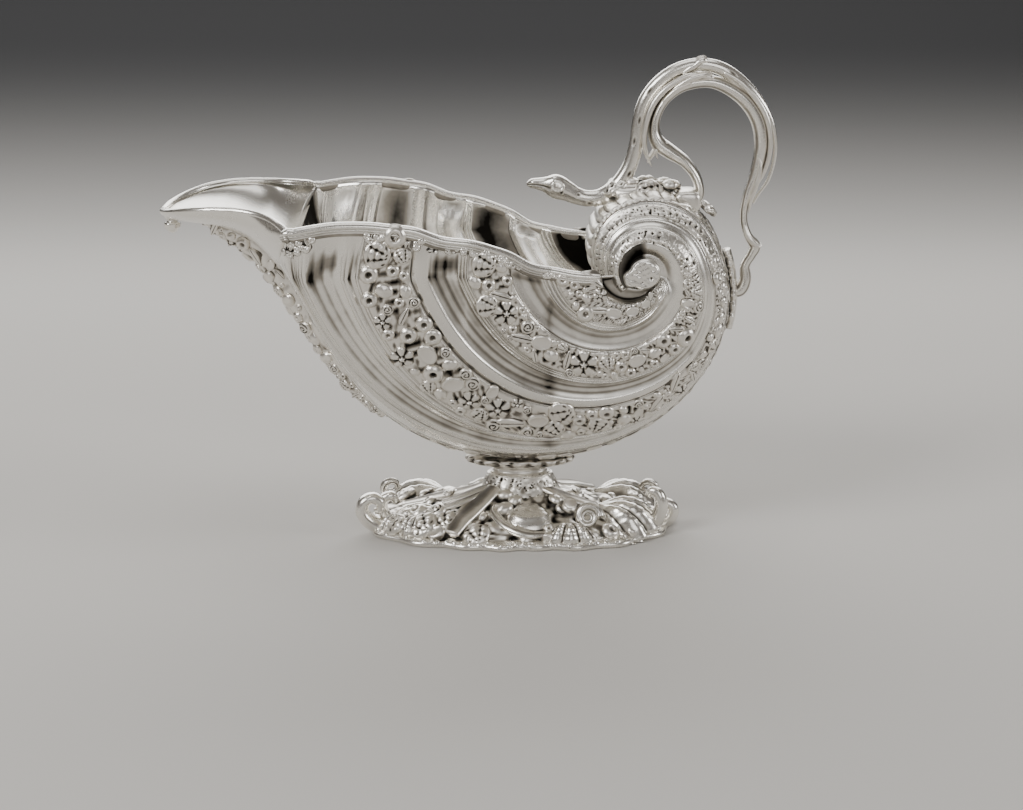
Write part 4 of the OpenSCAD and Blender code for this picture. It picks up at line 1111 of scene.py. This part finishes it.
for i in range(36):
    th = r.uniform(0, 2*pi)
    s = r.uniform(.62, .93)
    x, y = 53*s*cos(th), 33*s*sin(th)
    z = np.interp(s, [.6, .95], [6.2, 3.0])
    kind, d = ("pebble", "limpet", "scallop", "turban")[i % 4], (r.uniform(-1, 1), r.uniform(-1, 1), 0)
    small.append(put(kind, (x, y, z), (x/60, y/40, 1), d, r.uniform(1.4, 3.0)))
foot_small = on_foot("foot_small_shells_cast", small)
print("foot ornaments", len(mussel.data.polygons), len(snail.data.polygons), len(kelp.data.polygons),
      len(foot_small.data.polygons))

# %% [markdown]
# Old silver shows its shape by what lies in its hollows. Polish reaches the high places, and the dark
# sulphide stays in the low ones. So each piece's own hollows are found: each point is compared with
# the average of its neighbours, and where that lies outside the skin, the point is in a hollow.

# %% Where the dark sulphide stays
def patina(piece, passes, depth):
    """Adds tarnish where a point lies lower than the average of its neighbours, by depth in mm."""
    mesh = piece.data
    nv = len(mesh.vertices)
    co, no = np.empty(nv*3), np.empty(nv*3)
    mesh.vertices.foreach_get("co", co)
    mesh.vertices.foreach_get("normal", no)
    co, no = co.reshape(-1, 3)/MM, no.reshape(-1, 3)
    e = np.empty(len(mesh.edges)*2, int)
    mesh.edges.foreach_get("vertices", e)
    e = e.reshape(-1, 2)
    i, j = np.concatenate([e[:, 0], e[:, 1]]), np.concatenate([e[:, 1], e[:, 0]])
    count = np.maximum(np.bincount(i, minlength=nv), 1)
    q = co.copy()
    for _ in range(passes):
        q = np.stack([np.bincount(i, q[j, k], nv)/count for k in range(3)], -1)
    hollow = ((q - co)*no).sum(1)/depth
    t = np.zeros(nv)
    mesh.attributes["tarnish_and_shade"].data.foreach_get("value", t)
    t = np.clip(t + np.clip(hollow, -.5, 1), 0, 1)
    mesh.attributes["tarnish_and_shade"].data.foreach_set("value", t)
    return t


CASTS = [keel_front, keel_back, crust, strap, leaves, serpent, cluster, plate, flange, knop, foot_mound,
         foot_left, foot_right, foot_back_left, foot_back_right, foot_clam, mussel, snail, kelp, foot_small,
         foot_plate]
BAND_PIECES = [piece for pair in bands.values() for piece in pair]
for depth, pieces in ((.3, [hull_near, hull_far]), (.4, BAND_PIECES), (.5, CASTS)):
    for piece in pieces:
        t = patina(piece, 3, depth)
print("hollows marked; mean of the last", t.mean())

# %% [markdown]
# Sterling silver, raised and polished by hand, is a near-white metal with a faint warm cast. Its fine
# scratches and old wear give soft reflections, and its hollows are grey to black with sulphide.

# %% The two finishes
def linear(code):
    c = [int(code[i:i + 2], 16)/255 for i in (1, 3, 5)]
    return [x/12.92 if x <= 0.04045 else ((x + 0.055)/1.055)**2.4 for x in c] + [1.0]


def add(tree, kind, settings=None, **links):
    """A node with its settings, and with links or values for its inputs."""
    node = tree.nodes.new(kind)
    for key, value in (settings or {}).items():
        setattr(node, key, value)
    for key, value in links.items():
        socket = node.inputs[int(key[1:])] if key[0] == "i" and key[1:].isdigit() else node.inputs[key.replace("_", " ")]
        if isinstance(value, bpy.types.NodeSocket):
            tree.links.new(value, socket)
        else:
            socket.default_value = value
    return node


def silver(name, bright, dull, black, rough_low, rough_high, grain, grain_depth):
    """Metal whose colour and roughness follow the tarnish and painted shade, with grain and grain_depth in
    metres.
    """
    mat = bpy.data.materials.new(name)
    mat.use_nodes = True
    tree = mat.node_tree
    tree.nodes.clear()
    place = add(tree, "ShaderNodeTexCoord").outputs["Object"]
    dark = add(tree, "ShaderNodeAttribute", {"attribute_name": "tarnish_and_shade"}).outputs["Fac"]
    # Cloudy wear about 9 mm across, and worn grain.
    cloud = add(tree, "ShaderNodeTexNoise", Vector=place, Scale=110.0, Detail=3.0, Roughness=.6).outputs["Fac"]
    fine = add(tree, "ShaderNodeTexNoise", Vector=place, Scale=1/grain, Detail=4.0,
               Roughness=.65).outputs["Fac"]
    patchy = add(tree, "ShaderNodeMath", {"operation": "MULTIPLY_ADD"}, i0=cloud, i1=.5, i2=-.25).outputs[0]
    # The colour follows the tarnish and painted shade of the attribute, plus the cloudy wear.
    stain_and_shade = add(tree, "ShaderNodeMath", {"operation": "ADD"}, i0=dark, i1=patchy).outputs[0]
    ramp = add(tree, "ShaderNodeValToRGB", Fac=stain_and_shade)
    e = ramp.color_ramp.elements
    e[0].position, e[0].color = .12, linear(bright)
    e[1].position, e[1].color = .85, linear(black)
    mid = e.new(.42)
    mid.color = linear(dull)
    rough = add(tree, "ShaderNodeMapRange", i0=stain_and_shade, i1=0.0, i2=.8, i3=rough_low, i4=rough_high).outputs[0]
    worn = add(tree, "ShaderNodeMath", {"operation": "MULTIPLY_ADD"}, i0=fine, i1=.12, i2=rough).outputs[0]
    bump = add(tree, "ShaderNodeBump", Height=fine, Distance=grain_depth, Strength=.5).outputs[0]
    shader = add(tree, "ShaderNodeBsdfPrincipled", Base_Color=ramp.outputs["Color"], Metallic=1.0,
                 Roughness=worn, Normal=bump)
    add(tree, "ShaderNodeOutputMaterial", Surface=shader.outputs["BSDF"])
    return mat


# Polished sheet: hand rouge leaves a soft mirror with scratches too fine to draw, so wear about
# 0.6 mm across shows instead.
polished = silver("sterling silver, raised and hand polished",
                  "#F4F1EA", "#A39D93", "#1C1A17", .19, .5, .0006, .00002)
# Cast ornament: fire-skin and chasing leave a satin surface with a 0.35 mm grain.
cast = silver("sterling silver, cast, chased and oxidised",
              "#F0ECE4", "#8F897F", "#14120F", .24, .6, .00035, .00006)

PIECES = [
    (hull_near, ["hull_near"], polished), (hull_far, ["hull_far"], polished), (spout, ["spout"], polished),
    (drop, ["spout_drop"], polished), (keel_front, ["keel_band_front"], cast),
    (crust, ["keel_band_front"], cast), (keel_back, ["keel_band_back"], cast),
    (rim_near, ["rim_wire_near"], polished), (rim_far, ["rim_wire_far"], polished),
    (eyes[0], ["volute_eye_near"], polished), (eyes[1], ["volute_eye_far"], polished),
    (strap, ["handle_strap"], polished), (leaves, ["handle_leaves"], cast),
    (serpent, ["serpent"], polished), (serpent_eyes, ["serpent_eyes"], cast),
    (bud, ["handle_bud"], polished), (cluster, ["handle_top_mount"], cast),
    (plate, ["handle_back_plate"], cast), (stub, ["handle_stub"], polished),
    (flange, ["hull_flange"], cast), (neck, ["stem_neck"], polished), (knop, ["stem_knop"], cast),
    (foot_plate, ["foot_plate"], polished), (foot_mound, ["foot_mound"], cast),
    (foot_left, ["foot_shell_left"], polished), (foot_right, ["foot_shell_right"], polished),
    (foot_back_left, ["foot_shell_back_left"], polished),
    (foot_back_right, ["foot_shell_back_right"], polished), (foot_clam, ["foot_clam"], polished),
    (mussel, ["foot_mussel"], polished), (snail, ["foot_snail"], polished), (kelp, ["foot_kelp"], cast),
    (foot_small, ["foot_small_shells"], cast)]
for k in bands:
    PIECES += [(bands[k][0], [f"band_{k}_near"], cast), (bands[k][1], [f"band_{k}_far"], cast)]
for piece, nodes, mat in PIECES:
    piece.data.materials.clear()
    piece.data.materials.append(mat)
    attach(piece, BODY)
    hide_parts(*nodes)
print(len(PIECES), "pieces;", sum(len(q.data.polygons) for q, _, _ in PIECES), "faces")

# %% [markdown]
# The stage is plain: a pale floor and a backdrop whose colour turns from pale to near black, a painted shade
# for the light falling off behind the boat. The key light stands in front on the left, above the boat. Weaker
# ones stand in front, on the right and overhead, and a wide one behind draws the bright edges.

# %% Floor, lights and camera
def plain(name, code):
    mat = bpy.data.materials.new(name)
    mat.use_nodes = True
    s = mat.node_tree.nodes["Principled BSDF"]
    s.inputs["Base Color"].default_value = linear(code)
    s.inputs["Roughness"].default_value = .9
    return mat


bpy.ops.object.select_all(action="DESELECT")
bpy.ops.mesh.primitive_plane_add(size=1, location=(0, 0, 0))
floor = bpy.context.object
floor.name = "floor"
floor.scale = (6, 2.8, 1)
floor.location = (0, -1.05, 0)
floor.data.materials.append(plain("matt pale paper", "#C9C6C1"))

bend = np.linspace(0, radians(62), 40)
sweep_y = np.concatenate([[.35, .45, .55], .55 + .9*np.sin(bend)])
sweep_z = np.concatenate([[0, 0, 0], .9*(1 - np.cos(bend))])
mesh = bpy.data.meshes.new("backdrop")
mesh.from_pydata([(x, y, z) for y, z in zip(sweep_y, sweep_z) for x in (-3, 3)], [],
                 [(2*i, 2*i + 1, 2*i + 3, 2*i + 2) for i in range(len(sweep_y) - 1)])
backdrop = bpy.data.objects.new("backdrop", mesh)
bpy.context.collection.objects.link(backdrop)
# Painted shade: the paper's colour darkens from pale to near black towards the back, standing for the light
# falling off.
shaded_paper = plain("backdrop paper with painted shade", "#C9C6C1")
tree = shaded_paper.node_tree
where = add(tree, "ShaderNodeSeparateXYZ", Vector=add(tree, "ShaderNodeTexCoord").outputs["Object"])
shade = add(tree, "ShaderNodeMapRange", {"interpolation_type": "SMOOTHSTEP"}, i0=where.outputs["Y"], i1=.35,
            i2=.95)
ramp = add(tree, "ShaderNodeValToRGB", Fac=shade.outputs[0])
ramp.color_ramp.elements[0].color, ramp.color_ramp.elements[1].color = linear("#C9C6C1"), linear("#08080A")
tree.links.new(ramp.outputs["Color"], tree.nodes["Principled BSDF"].inputs["Base Color"])
mesh.polygons.foreach_set("use_smooth", [True]*len(mesh.polygons))
backdrop.data.materials.append(shaded_paper)


def light(name, at, aim, size, power, size_y=None):
    lamp = bpy.data.lights.new(name, "AREA")
    lamp.shape = "RECTANGLE"
    lamp.size, lamp.size_y, lamp.energy = size, size_y or size, power
    o = bpy.data.objects.new(name, lamp)
    bpy.context.collection.objects.link(o)
    o.location = at
    o.rotation_euler = (Vector(aim) - Vector(at)).to_track_quat("-Z", "Y").to_euler()


light("key softbox", (-.9, -.8, .9), (0, 0, .08), .55, 11)
light("front softbox", (.35, -1.5, .75), (0, 0, .08), .8, 4)
light("right softbox", (1.2, -.2, .5), (0, 0, .08), .35, 4.5)
light("top softbox", (0, .1, 1.3), (0, 0, .1), .9, 4)
light("back softbox", (-.1, 1.05, .6), (0, 0, .1), 1.6, 14, size_y=.75)
world = bpy.context.scene.world or bpy.data.worlds.new("studio")
bpy.context.scene.world = world
world.use_nodes = True
world.node_tree.nodes["Background"].inputs["Color"].default_value = linear("#8C8782")
world.node_tree.nodes["Background"].inputs["Strength"].default_value = .6

lens = bpy.data.cameras.new("camera")
lens.lens, lens.sensor_width = 74.53, 36
camera = bpy.data.objects.new("camera", lens)
bpy.context.collection.objects.link(camera)
camera.location = (-.00298, -.7266, .2325)
camera.rotation_euler = (radians(75.4), 0, 0)
bpy.context.scene.camera = camera
